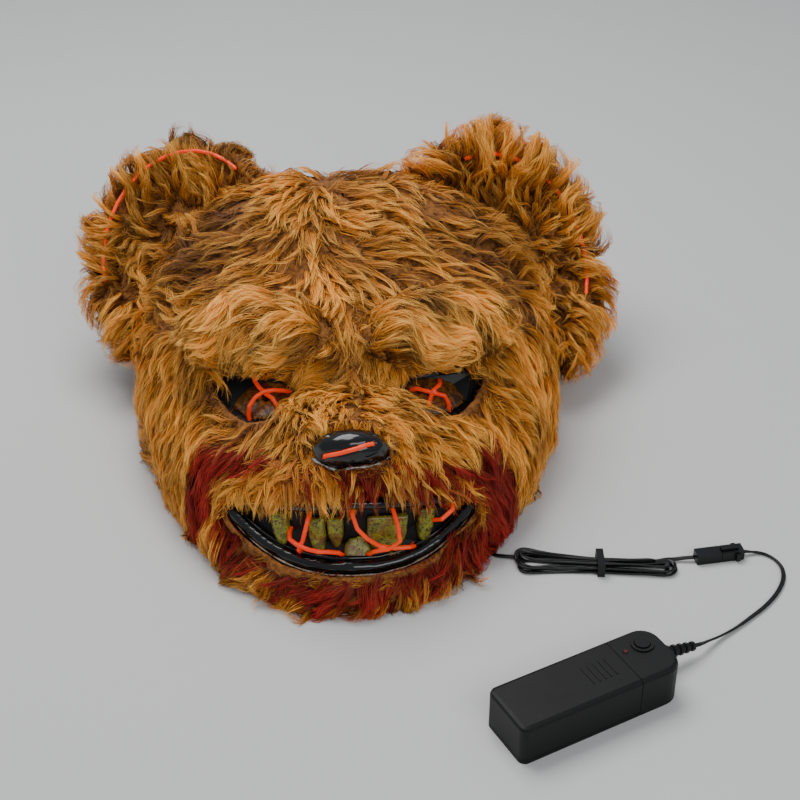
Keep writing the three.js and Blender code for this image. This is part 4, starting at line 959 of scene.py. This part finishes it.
def comb_brow(p):
    x, z = p[:, 0], p[:, 2]
    side = np.tanh(x / 10)
    up = 0.9 * (1 - ease(np.abs(x), 5, 45)) * ease(z, 22, 40) - 0.35 * ease(np.abs(x), 30, 75) - 0.15
    inner = 1 - ease(np.abs(x), 7, 20)
    side = side * (1 - inner) - 0.35 * inner * np.sign(x)
    up = up * (1 - inner) + inner * (1.9 * ease(z, 14, 34) - 0.9)
    go_x, go_z = turned(side, up, 0.5 * wander(p, 24) + 0.3 * wander(p, 9))
    return np.column_stack([go_x, 0.1 * np.ones(len(p)), go_z])


def comb_ear(middle):
    def comb(p):
        out_x, out_z = p[:, 0] - middle[0], p[:, 2] - middle[2]
        far = np.hypot(out_x, out_z)
        rim = ease(far, 16, 58)
        swirl = (1.25 - 0.65 * rim) * wander(p, 20) + 0.6 * wander(p, 8)
        go_x, go_z = out_x / far * (0.3 + rim), out_z / far * (0.3 + rim) - 0.5 * (1 - rim)
        go_x, go_z = turned(go_x, go_z, swirl)
        return np.column_stack([go_x, 0.25 * wander(p, 12), go_z])
    return comb


print("combs:", comb_face.__name__, comb_brow.__name__, "and one for each ear")

# %% [markdown]
# ## The red stain
# Crimson paint is dry-brushed over the fur: down both cheeks round the mouth's corners, on the upper
# lip and on the chin.
# Each stroke here is a soft ellipse in the mask's frame, with its place, its reach and how heavy it is.

# %% Stain strokes
STAIN_STROKES = [
    # x and z of the middle, half length and half width, turn in degrees, weight
    {"x": -83, "z": -58, "long": 21, "wide": 7, "turn": 80, "weight": 1.0},
    {"x": -64, "z": -49, "long": 17, "wide": 7, "turn": -12, "weight": 0.9},
    {"x": -38, "z": -60, "long": 13, "wide": 5, "turn": -20, "weight": 0.5},
    {"x": -20, "z": -68, "long": 9, "wide": 4, "turn": 10, "weight": 0.5},
    {"x": 8, "z": -71, "long": 14, "wide": 5.5, "turn": 0, "weight": 0.95},
    {"x": 31, "z": -69, "long": 14, "wide": 6, "turn": 5, "weight": 1.0},
    {"x": 58, "z": -62, "long": 13, "wide": 6, "turn": 15, "weight": 0.9},
    {"x": 80, "z": -60, "long": 15, "wide": 10, "turn": 90, "weight": 1.0},
    {"x": 84, "z": -76, "long": 15, "wide": 9, "turn": 70, "weight": 0.95},
    {"x": 68, "z": -95, "long": 20, "wide": 8, "turn": 42, "weight": 1.0},
    {"x": 40, "z": -114, "long": 18, "wide": 7, "turn": 22, "weight": 1.0},
    {"x": -4, "z": -126, "long": 24, "wide": 8, "turn": 0, "weight": 1.0},
    {"x": -34, "z": -118, "long": 15, "wide": 7, "turn": -20, "weight": 0.85},
    {"x": -67, "z": -90, "long": 17, "wide": 7, "turn": -62, "weight": 1.0},
]


def stain_at(p):
    total = np.zeros(len(p))
    for stroke in STAIN_STROKES:
        a, b = turned(p[:, 0] - stroke["x"], p[:, 2] - stroke["z"], -math.radians(stroke["turn"]))
        far = np.hypot(a / stroke["long"], b / stroke["wide"]) / 1.22
        total = np.maximum(total, stroke["weight"] * (1 - ease(far, 0.75, 1.15)))
    ragged = 0.28 * wander(p, 9) + 0.16 * wander(p, 4)
    return np.clip(1.6 * total + 1.2 * ragged * (total > 0.05) - 0.16, 0, 1)


print("stain strokes:", len(STAIN_STROKES))

# %% [markdown]
# ## Fur on the face
# The coat is grown in zones, because each has its own pile length and no mesh may get too heavy.
# Near the nose the pile is short. On the forehead, the cheeks and the upper lip it is long.


# %% Where the coat grows, how long and how high
NOSE_AT, EYE_AT = (0, -50), (45, -5)
LIPS_MEET = -84


def near(x, z, p):
    return np.hypot(p[:, 0] - x, p[:, 2] - z)


def coat_side(p, normals):
    """Where the coat has fur: the side that faces out, without the hollow and the floor rim."""
    out = unit(p - HEAD_MIDDLE)
    facing = np.sum((normals @ FACE_AXES.T) * out, axis=1)
    wanted = (facing > 0.15) & (normals[:, 2] > -0.5)
    parting = np.exp(-((off_parting(p) / 26) ** 2)) * ease(p[:, 2], 26, 50)
    fringe = (np.abs(p[:, 0]) < 66) & (p[:, 2] < -60) & (p[:, 2] > LIPS_MEET)
    return wanted * (1 + 1.3 * parting + 0.2 * fringe + 0.35 * by_the_ear(p))


def coat_length(p):
    short = 1 - ease(near(*NOSE_AT, p), 24, 62)
    lip = (1 - ease(np.abs(p[:, 2] + 72), 8, 16)) * (1 - ease(np.abs(p[:, 0]), 62, 78))
    length = (28 - 12 * short) * (1 - 0.15 * ease(-p[:, 2], 95, 115))
    return length * (1 - lip) + 29 * lip


def coat_overhang(p):
    """How far a lock may hang past the edge that it grows at: little over the eyes, more over the teeth."""
    across, up = np.abs(p[:, 0]), p[:, 2]
    eyes = np.minimum(near(-EYE_AT[0], EYE_AT[1], p), near(*EYE_AT, p))
    limit = 14 - 11 * (1 - ease(eyes, 34, 48))
    limit = np.where(near(*NOSE_AT, p) < 36, 2.5 + 2.5 * (up > -45), limit)
    upper_lip = (across < 74) & (up < -58) & (up > LIPS_MEET)
    limit = np.where(upper_lip, 19 - 12 * ease(across, 42, 70), limit)
    lower_lip = (across < 84) & (up <= LIPS_MEET) & (up > -100)
    return np.where(lower_lip, 4.5, limit)


def ear_hollow_shade(p):
    """Painted shade in the hollow at the foot of each ear, 0 to 1."""
    across, up = (np.abs(p[:, 0]) - 92) / 34, (p[:, 2] - 100) / 32
    return np.clip(1.35 * np.exp(-(across**2) - up**2), 0, 1)


def coat_lift(p):
    """The pile stands low round the nose and between the brows, and high by the ears."""
    between = (1 - ease(np.abs(p[:, 0]), 6, 18)) * ease(p[:, 2], -4, 10) * (1 - ease(p[:, 2], 48, 60))
    return 9.5 - 3 * (1 - ease(near(*NOSE_AT, p), 22, 50)) + 8 * by_the_ear(p) - 5.5 * between


def coat_tone(p):
    muzzle = 1.4 * (1 - ease(near(0, -60, p), 18, 46)) - 0.5 * (1 - ease(near(0, 0, p), 10, 30))
    cheeks = 0.06 * np.tanh(p[:, 0] / 40) * (1 - ease(p[:, 2], 10, 40))
    # Painted shade: darker in the hollow at each ear's foot, and a little darker where the coat runs into
    # an ear.
    return 0.56 + 0.17 * wander(p, 16) - 0.5 * ear_hollow_shade(p) - 0.03 * by_the_ear(p) + 0.13 * muzzle + cheeks


print("coat measures:", [f.__name__ for f in (coat_side, coat_length, coat_overhang, coat_lift, coat_tone)])


# %% Grow a zone in two layers
# darker is painted shade: how much darker a layer's strands are because they lie under the locks.
LAYERS = {
    "fur": {"strands": 16, "rise": (0.3, 1.0), "length": (0.75, 1.15), "spread": (1.5, 2.9),
            "stray": 0.26, "darker": 0.0},
    "under": {"strands": 13, "rise": (0.12, 0.45), "length": (0.35, 0.55), "spread": (3.0, 5.0),
              "stray": 0.6, "darker": 0.12, "pinch": 0.3, "parts": 2},
}


def grow_coat(name, skin, keep, counts, pile):
    """A zone's long locks, and under them a short dense coat that covers the cloth."""
    for (layer, own), count in zip(LAYERS.items(), counts):
        roots, normals = scatter_roots(skin, count, keep)
        p = to_face(roots)
        rise = pile["lift"](p) * rng.uniform(*own["rise"], count)
        length = pile["length"](p) * rng.uniform(*own["length"], count)
        wave = pile["wave"] * rng.uniform(0.3, 1.0, count)
        overhang = pile["overhang"](p)
        guides = comb_guides(skin, roots, normals, pile["comb"], length, rise, wave, overhang, own["stray"])
        # Painted light and shade: the under layer is darker by its darker value, and strands that stand
        # higher are lighter, lower ones darker.
        tone = pile["tone"](to_face(guides[0][:, 3])) - own["darker"] + 0.17 * (rise / 8 - 0.5)
        tone = tone + rng.normal(0, 0.08, count)
        stain = stain_at(to_face(guides[0][:, 4])) if pile["stained"] else np.zeros(count)
        spread = rng.uniform(*own["spread"], count)
        pinch, parts = own.get("pinch", pile["pinch"]), own.get("parts", pile["parts"])
        grow_strands(f"{layer}_{name}", guides, pile["finish"], own["strands"], spread, pinch, tone, stain,
                     parts)


print("layers:", list(LAYERS))

# %% Grow the coat
FOREHEAD_FROM, MUZZLE_HALF = 42, 34
FACE_PILE = {
    "comb": comb_face, "length": coat_length, "lift": coat_lift, "overhang": coat_overhang,
    "tone": coat_tone, "wave": 2.2, "pinch": 0.74, "parts": 3, "stained": True, "finish": (FUR, "fur"),
}
# For each zone: how many long guides and short ones, and where it lies
COAT_ZONES = {
    "forehead": ((1500, 1200), lambda p: p[:, 2] > FOREHEAD_FROM),
    "cheek_left": ((820, 680), lambda p: (p[:, 2] <= FOREHEAD_FROM) & (p[:, 0] < -MUZZLE_HALF)),
    "cheek_right": ((820, 680), lambda p: (p[:, 2] <= FOREHEAD_FROM) & (p[:, 0] > MUZZLE_HALF)),
    "muzzle": ((820, 480), lambda p: (p[:, 2] <= FOREHEAD_FROM) & (np.abs(p[:, 0]) <= MUZZLE_HALF)),
}
for name, (counts, inside) in COAT_ZONES.items():
    grow_coat(name, skins["coat_skin"], lambda p, n, inside=inside: coat_side(p, n) * inside(p), counts,
              FACE_PILE)
print("coat zones:", len(COAT_ZONES))

# %% [markdown]
# ## Fur on the brows and the ears
# The brows are two padded rolls of paler fur that hang over the eyes and give the scowl.
# The ears have a shorter, matted and curly pile, with painted shade in the hollow in front.
# They use the same guides and strands with other lengths, waves and combs.

# %% Piles of the brows and the ears
BROW_PILE = {
    "comb": comb_brow, "length": lambda p: 29.0, "lift": lambda p: 9.0,
    "overhang": lambda p: 6.5 + 3.0 * ease(np.abs(p[:, 0]), 40, 56) + 2.0 * ease(p[:, 2], 12, 26),
    "tone": lambda p: 0.52 + 0.3 * wander(p, 11),
    "wave": 2.2, "pinch": 0.8, "parts": 4, "stained": False, "finish": (BROW_FUR, "brow_fur"),
}


def ear_pile(middle, sign):
    """Where one ear has its pile, and what the pile is like. sign is -1 on the left and 1 on the right."""
    def rim(p):
        """1 at the ear's edge, 0 in its middle."""
        return ease(np.hypot(p[:, 0] - middle[0], p[:, 2] - middle[2]), 34, 56)

    def groove(p):
        """How low the pile lies in front of the left ear's top, where its light wire shows."""
        front, top = 1 - ease(p[:, 1], 97, 105), ease(p[:, 2] - middle[2], 24, 40)
        return (0.62 if sign < 0 else 0.0) * front * top

    def keep(p, normals):
        behind = (normals @ FACE_AXES.T)[:, 1] > 0.3
        return (1.0 - 0.45 * behind) * (1 + (0.4 + 0.4 * sign) * rim(p))

    def lift(p):
        return (15.0 + 2 * sign + 9 * rim(p) - 5 * ease(p[:, 1], 104, 125)) * (1 - groove(p))

    def tone(p):
        # Painted shade: darker in the hollow at the ear's foot, and lighter at the rim than in the cupped
        # middle.
        return 0.3 + 0.2 * wander(p, 12) - 0.4 * ear_hollow_shade(p) + 0.08 * rim(p)

    return keep, {
        "comb": comb_ear(middle), "length": lambda p: 24.0, "lift": lift, "overhang": lambda p: 13.0,
        "tone": tone, "wave": 3.4, "pinch": 0.6, "parts": 3, "stained": False, "finish": (FUR, "fur"),
    }


print("brow pile on", BROW_PILE["finish"][1], "and a pile for each ear")

# %% Grow the brows and the ears
BROW_COUNTS, EAR_COUNTS = (480, 300), (980, 620)


def brow_front(p, normals):
    return (normals @ FACE_AXES.T)[:, 1] < 0.45


for side, sign in (("left", -1), ("right", 1)):
    grow_coat("brow_" + side, skins["brow_" + side], brow_front, BROW_COUNTS, BROW_PILE)
    low, high = (np.array(c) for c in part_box("ear_" + side))
    keep, pile = ear_pile(to_face((low + high) / 2), sign)
    grow_coat("ear_" + side, skins["ear_" + side], keep, EAR_COUNTS, pile)
print("guides on both brows and ears:", 2 * sum(BROW_COUNTS + EAR_COUNTS))

# %% [markdown]
# ## Mouth
# The mask's face under the fur is one thin black moulding, and its lips are thick rounded rolls with
# a high gloss.
# The lower lip has a second, thinner ridge inside it, and the fur's cut edge shows below as a pale line.
# The rolls come from their solids. The ridge and the edge are swept along the line that the roll follows.

# %% Lips, ridge and cut edge
RIDGE_OFFSET, CUT_EDGE_OFFSET = (0, -0.6, 5.0), (0, -1.8, -4.6)
LIP_SLICES = 26
lip_lower = soft_piece("lip_lower", "lip_lower_roll", GLOSS_BLACK, "gloss_black", voxel=1.1, rounds=6,
                       grow=0.35)
lip_upper = soft_piece("lip_upper", "lip_upper_roll", GLOSS_BLACK, "gloss_black", voxel=1.0, rounds=5,
                       grow=0.3)


def middle_line(piece, slices):
    """The middle of a long piece, slice by slice across the face, in the mask's frame."""
    p = to_face(np.array([v.co for v in piece.data.vertices]))
    edges = np.linspace(p[:, 0].min() + 2, p[:, 0].max() - 2, slices + 1)
    return np.array([p[(p[:, 0] >= a) & (p[:, 0] < b)].mean(axis=0) for a, b in zip(edges, edges[1:])])


def ripple(line, turns):
    """A wave of -1 to 1 along a line, for beads that aren't equally thick all the way."""
    return np.sin(np.linspace(0, turns, len(line)))


lower_middle = middle_line(lip_lower, LIP_SLICES)
ridge_line, _ = smooth_line(from_face(lower_middle[1:-1] + RIDGE_OFFSET), 1.2 * MM)
ridge_size = 0.75 + 0.25 * ripple(ridge_line, 17) * ripple(ridge_line, 5)
ridge = sweep(ridge_line, round_profile(1.6 * MM), size=ridge_size)
new_piece("lip_ridge", *ridge, GLOSS_BLACK, "gloss_black")
CUT_EDGE = lumpy_material("cut_edge", colour(96, 70, 44), colour(186, 170, 150), scale=900, roughness=0.5,
                          strength=0.5, distance=0.0004)
edge_line, _ = smooth_line(from_face(lower_middle[1:-1] + CUT_EDGE_OFFSET), 1.5 * MM)
edge_size = 0.8 + 0.3 * ripple(edge_line, 60)
cut_edge = sweep(edge_line, round_profile(0.55 * MM, sides=8), size=edge_size)
new_piece("fur_cut_edge", *cut_edge, CUT_EDGE, "fur")
print("lips:", len(lip_lower.data.polygons), len(lip_upper.data.polygons), "faces")

# %% [markdown]
# ## Teeth
# The teeth are moulded with the face and painted olive green, with dark flecks and rusty swirls.
# They are remeshed from their solids so that their edges are soft, and the fleck group paints them.

# %% Teeth
tooth = Finish("tooth_paint", Coat_Weight=0.15, Coat_Roughness=0.25)
paint = tooth.group(PAINT_FLECKS, {
    "Base": colour(156, 158, 32), "Second": colour(94, 88, 18), "Fleck": colour(34, 16, 8), "Scale": 480,
    "Amount": 0.9,
}).outputs
swirl_inputs = {"Vector": tooth.where(), "Scale": 90, "Distortion": 9, "Detail": 3}
swirl = tooth.node("ShaderNodeTexWave", swirl_inputs, wave_type="RINGS").outputs["Fac"]
rust = tooth.spread(swirl, 0.72, 1, 0, 0.55)
tooth.feed("Base Color", tooth.mix(rust, paint["Color"], colour(120, 50, 20)))
tooth.feed("Roughness", tooth.spread(paint["Mask"], 0, 1, 0.34, 0.6))
tooth.bump(paint["Mask"], 0.25, 0.0003)
tooth_names = sorted(name for name in nodes if name.startswith("tooth_"))
for name in tooth_names:
    soft_piece(name, name + "_painted", tooth.material, "tooth_paint", voxel=0.75, rounds=5, grow=0.25)
print("teeth:", len(tooth_names))

# %% [markdown]
# ## Fringe over the teeth
# The pile of the upper lip hangs down over the edge of the mouth, so the teeth's roots are out of sight.
# The comb follows the cloth and would curl into the mouth there, so these locks are laid straight down.
# Each one keeps a little in front of whatever a ray finds behind it: the lip, a tooth or a light wire.

# %% In front of the mouth
RAY_START, RAY_REACH = -90, 0.2
FRONT_IF_NONE = 30.0
coat_tree = surface_tree(skins["coat_skin"].data)
mouth_wires = sorted(name for name in nodes if name.startswith("el_wire_mouth"))
front_nodes = ["lip_upper", "face_shell"] + tooth_names + mouth_wires
front_trees = [surface_tree(nodes[name].data) for name in front_nodes] + [coat_tree]


def front_of(x, z, trees):
    """How far forward the foremost surface lies at x and z of the mask's frame."""
    start = Vector(from_face([x, RAY_START, z]))
    hits = [tree.ray_cast(start, Vector(FACE_AXES[1]), RAY_REACH)[3] for tree in trees]
    hits = [h for h in hits if h is not None]
    return RAY_START + min(hits) / MM if hits else FRONT_IF_NONE


print("surfaces behind the fringe:", len(front_trees))

# %% Upper lip fringe
FRINGE_LOCKS, FRINGE_HALF = 300, 66
FRINGE_STRANDS = 14
fringe_x = FRINGE_HALF * np.sin(rng.uniform(-1.35, 1.35, FRINGE_LOCKS))
edge_z = -71 + 6.5 * (fringe_x / FRINGE_HALF) ** 2
root_z = edge_z + rng.uniform(0, 1, FRINGE_LOCKS) ** 1.5 * 12
tip_z = edge_z - rng.uniform(4, 17, FRINGE_LOCKS) * (1 - 0.6 * np.abs(fringe_x / FRINGE_HALF) ** 3)
fringe_path = np.zeros((FRINGE_LOCKS, GUIDE_STEPS + 1, 3))
sway = rng.normal(0, 3.4, FRINGE_LOCKS) + 5 * wander(np.column_stack([fringe_x, root_z * 0, root_z]), 16)
puff = rng.uniform(0.5, 6.5, FRINGE_LOCKS)
for i in range(FRINGE_LOCKS):
    root_y = front_of(fringe_x[i], root_z[i], [coat_tree])
    for k in range(GUIDE_STEPS + 1):
        share = k / GUIDE_STEPS
        x = fringe_x[i] + sway[i] * share * (1 + 0.4 * math.sin(5 * share + i))
        z = root_z[i] + (tip_z[i] - root_z[i]) * share
        y = root_y - puff[i] * math.sin(math.pi * 0.8 * share) + 9 * share**2
        y = min(y, front_of(x, z, front_trees) - 0.4 - 0.25 * puff[i] * (k > 0))
        fringe_path[i, k] = x, y, z
fringe_path[:, 0, 1] += 0.8
fringe_out = np.tile(-FACE_AXES[1], (FRINGE_LOCKS, GUIDE_STEPS + 1, 1))
fringe_guides = (from_face(fringe_path.reshape(-1, 3)).reshape(fringe_path.shape), fringe_out,
                 np.ones(FRINGE_LOCKS))
# Painted light: locks that puff further forward are lighter, flatter ones darker.
fringe_tone = 0.5 + 0.2 * wander(fringe_path[:, 3], 12) + 0.12 * (puff / 4 - 0.8)
fringe_spread = rng.uniform(1.4, 2.6, FRINGE_LOCKS)
fringe_stain = stain_at(fringe_path[:, 1]) * rng.choice([0.2, 0.7, 1.0], FRINGE_LOCKS)
grow_strands("fur_lip_fringe", fringe_guides, (FUR, "fur"), FRINGE_STRANDS, fringe_spread, pinch=0.8,
             tone=fringe_tone, stain=fringe_stain)

# %% [markdown]
# ## Nose and eyes
# The nose is a bulbous gloss black moulding with two nostrils, and a grey line of glue shows under it.
# The eyes are shallow painted discs, mottled ochre and olive, each with an open pupil.

# %% Nose
GLUE_POINTS = 15
nose = soft_piece("nose", "nose_moulded", GLOSS_BLACK, "gloss_black", voxel=0.9, rounds=7, grow=0.5)
nose_p = to_face(np.array([v.co for v in nose.data.vertices]))
nose_middle = (nose_p.max(axis=0) + nose_p.min(axis=0)) / 2
nose_half = (nose_p.max(axis=0) - nose_p.min(axis=0)) / 2
glue_points = []
for turn_at in np.linspace(math.radians(200), math.radians(340), GLUE_POINTS):
    x = nose_middle[0] + (nose_half[0] + 0.8) * math.cos(turn_at)
    z = nose_middle[2] + (nose_half[2] + 0.8) * math.sin(turn_at)
    start, forward = from_face([x, nose_middle[1] - 40, z]), FACE_AXES[1]
    hit = coat_tree.ray_cast(Vector(start), Vector(forward))[0]
    if hit:
        glue_points.append(np.array(hit) - forward * 0.6 * MM)
GLUE = lumpy_material("glue_line", colour(70, 66, 60), colour(190, 188, 180), scale=700, roughness=0.28,
                      strength=0.6, distance=0.0004, coat=0.4)
glue_line, _ = smooth_line(glue_points, 1 * MM)
glue_size = 0.8 + 0.35 * ripple(glue_line, 31)
glue = sweep(glue_line, round_profile(0.9 * MM, sides=10, flat=0.7), size=glue_size)
new_piece("nose_glue", *glue, GLUE, "gloss_black")
print("nose half size:", nose_half.round(1), "glue points:", len(glue_points))

# %% Eyes
eye = Finish("eye_paint", Coat_Weight=0.2, Coat_Roughness=0.3)
mottle = eye.group(PAINT_FLECKS, {
    "Base": colour(150, 100, 20), "Second": colour(28, 26, 10), "Fleck": colour(110, 14, 8), "Scale": 520,
    "Amount": 0.9,
}).outputs
dots = eye.node("ShaderNodeTexVoronoi", {"Vector": eye.where(), "Scale": 620})
dark_dots = eye.spread(dots.outputs["Distance"], 0.32, 0.22)
eye.feed("Base Color", eye.mix(dark_dots, mottle["Color"], colour(20, 12, 6)))
eye.feed("Roughness", eye.spread(mottle["Mask"], 0, 1, 0.42, 0.5))
eye.bump(mottle["Mask"], 0.2, 0.0003)
for side in ("left", "right"):
    soft_piece("eye_" + side, "eye_disc_" + side, eye.material, "eye_paint", voxel=0.8, rounds=4, grow=0.25)
print("eyes done")

# %% [markdown]
# ## Light wires
# The orange wires are flexible light wires, about 2.5 mm thick, laced in and out of holes in the face.
# Their sleeve is soft bright orange plastic. Remeshing their solids finely gives round, even tubes.

# %% Light wires
# The wires are switched off: their faint orange emission is a painted glow.
wire = Finish("light_wire", Specular_IOR_Level=0.3, Coat_Weight=0.15, Coat_Roughness=0.2,
              Emission_Color=colour(255, 60, 14), Emission_Strength=0.22)
surface = wire.group(PLASTIC_GRAIN, {
    "Grain Scale": 1500, "Gloss Scale": 120, "Roughness": 0.34, "Gloss Change": 0.15,
})
wire.feed("Roughness", surface.outputs["Roughness"])
wire.bump(surface.outputs["Height"], 0.06, GRAIN_DEPTH)
wire.feed("Base Color", wire.ramp(wire.noise(60), [(0.3, colour(250, 52, 8)), (0.7, colour(255, 84, 30))]))
wire_names = sorted(name for name in nodes if name.startswith("el_wire_"))
for name in wire_names:
    soft_piece(name, name.replace("el_", "light_"), wire.material, "light_wire", voxel=0.7, rounds=3,
               grow=0.25)
print("light wires:", len(wire_names))

# %% [markdown]
# ## Strap
# Behind the face an elastic band runs across the open back and holds the mask on the head.
# It is woven flat with lengthwise ribs, so it is a thin ribbed sheet that follows the line of its solid.

# %% Elastic strap
elastic = Finish("elastic", Roughness=0.8, Sheen_Weight=0.2)
knit_inputs = {"Vector": elastic.where(), "Scale": 260, "Distortion": 0.6}
knit = elastic.node("ShaderNodeTexWave", knit_inputs, bands_direction="X").outputs["Fac"]
elastic.feed("Base Color", elastic.ramp(knit, [(0.2, colour(16, 16, 17)), (0.8, colour(44, 44, 46))]))
elastic.bump(knit, 0.6, 0.0004)
strap_corners = np.array([v.co for v in nodes["head_strap"].data.vertices])
strap_across = np.array([math.cos(math.radians(FACE_TURN)), math.sin(math.radians(FACE_TURN)), 0])
strap_along = np.cross((0, 0, 1), strap_across)
reach, back = strap_corners @ strap_across, strap_corners @ strap_along
# The strap's route: the share of its way across, and its height above the floor
STRAP_ROUTE = [(0, 12.6), (0.055, 4.4), (0.078, 1.9), (0.2, 0.95), (0.4, 0.95), (0.6, 0.95), (0.8, 0.95),
               (0.922, 1.9), (0.945, 4.4), (1, 12.6)]
rail = [strap_across * (reach.min() + (reach.max() - reach.min()) * share) + (0, 0, height * MM)
        for share, height in STRAP_ROUTE]
strap_line, strap_length = smooth_line(np.array(rail) + strap_along * (back.min() + back.max()) / 2, 2 * MM)
half = (back.max() - back.min()) / 2
RIBS = 9
section = []
for k in range(RIBS * 4 + 1):
    share = k / (RIBS * 4)
    section.append(((2 * share - 1) * half, (0.35 + 0.2 * abs(math.sin(math.pi * share * RIBS))) * MM))
section += [(x, -y) for x, y in reversed(section)]
strap = new_piece("elastic_strap", *sweep(strap_line, section), elastic.material, "elastic")
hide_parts("head_strap")
print("strap:", round(strap_length / MM), "mm long,", round(2 * half / MM), "mm wide")

# %% [markdown]
# ## Hard plastic nodes
# The battery case, its cover, its button, the relief and the connectors keep their solids, because their
# shapes are right.
# They get fine-grained black finishes, and the lamp gets a small red lens.

# %% Finishes for the kept nodes
led = Finish("led_lens", Base_Color=colour(74, 16, 12), Roughness=0.2, Coat_Weight=0.6)
surface = led.group(PLASTIC_GRAIN, {
    "Grain Scale": 900, "Gloss Scale": 200, "Roughness": 0.2, "Gloss Change": 0.1,
})
led.feed("Roughness", surface.outputs["Roughness"])
BUTTON_BLACK = black_plastic("button_black", (9, 9, 10), 0.4, grain=0.15)
KEPT = {
    "face_shell": MOULDED_BLACK, "wire_splice": LEAD_BLACK, "hank_tie": LEAD_BLACK,
    "battery_case": CASE_BLACK, "battery_cover": CASE_BLACK, "power_button": BUTTON_BLACK,
    "indicator_led": led.material, "strain_relief": CONNECTOR_BLACK, "connector_plug": CONNECTOR_BLACK,
    "connector_socket": CONNECTOR_BLACK,
}
for name, material in KEPT.items():
    mesh = nodes[name].data
    for k in range(len(mesh.materials)):
        mesh.materials[k] = material
print("kept nodes:", len(KEPT))

# %% [markdown]
# ## Triangle count
# The triangles of every mesh that renders are counted.

# %% Count the triangles
total = 0
for piece in bpy.data.objects:
    if piece.type == "MESH" and not piece.hide_render:
        piece.data.calc_loop_triangles()
        total += len(piece.data.loop_triangles)
print("triangles in all:", total)
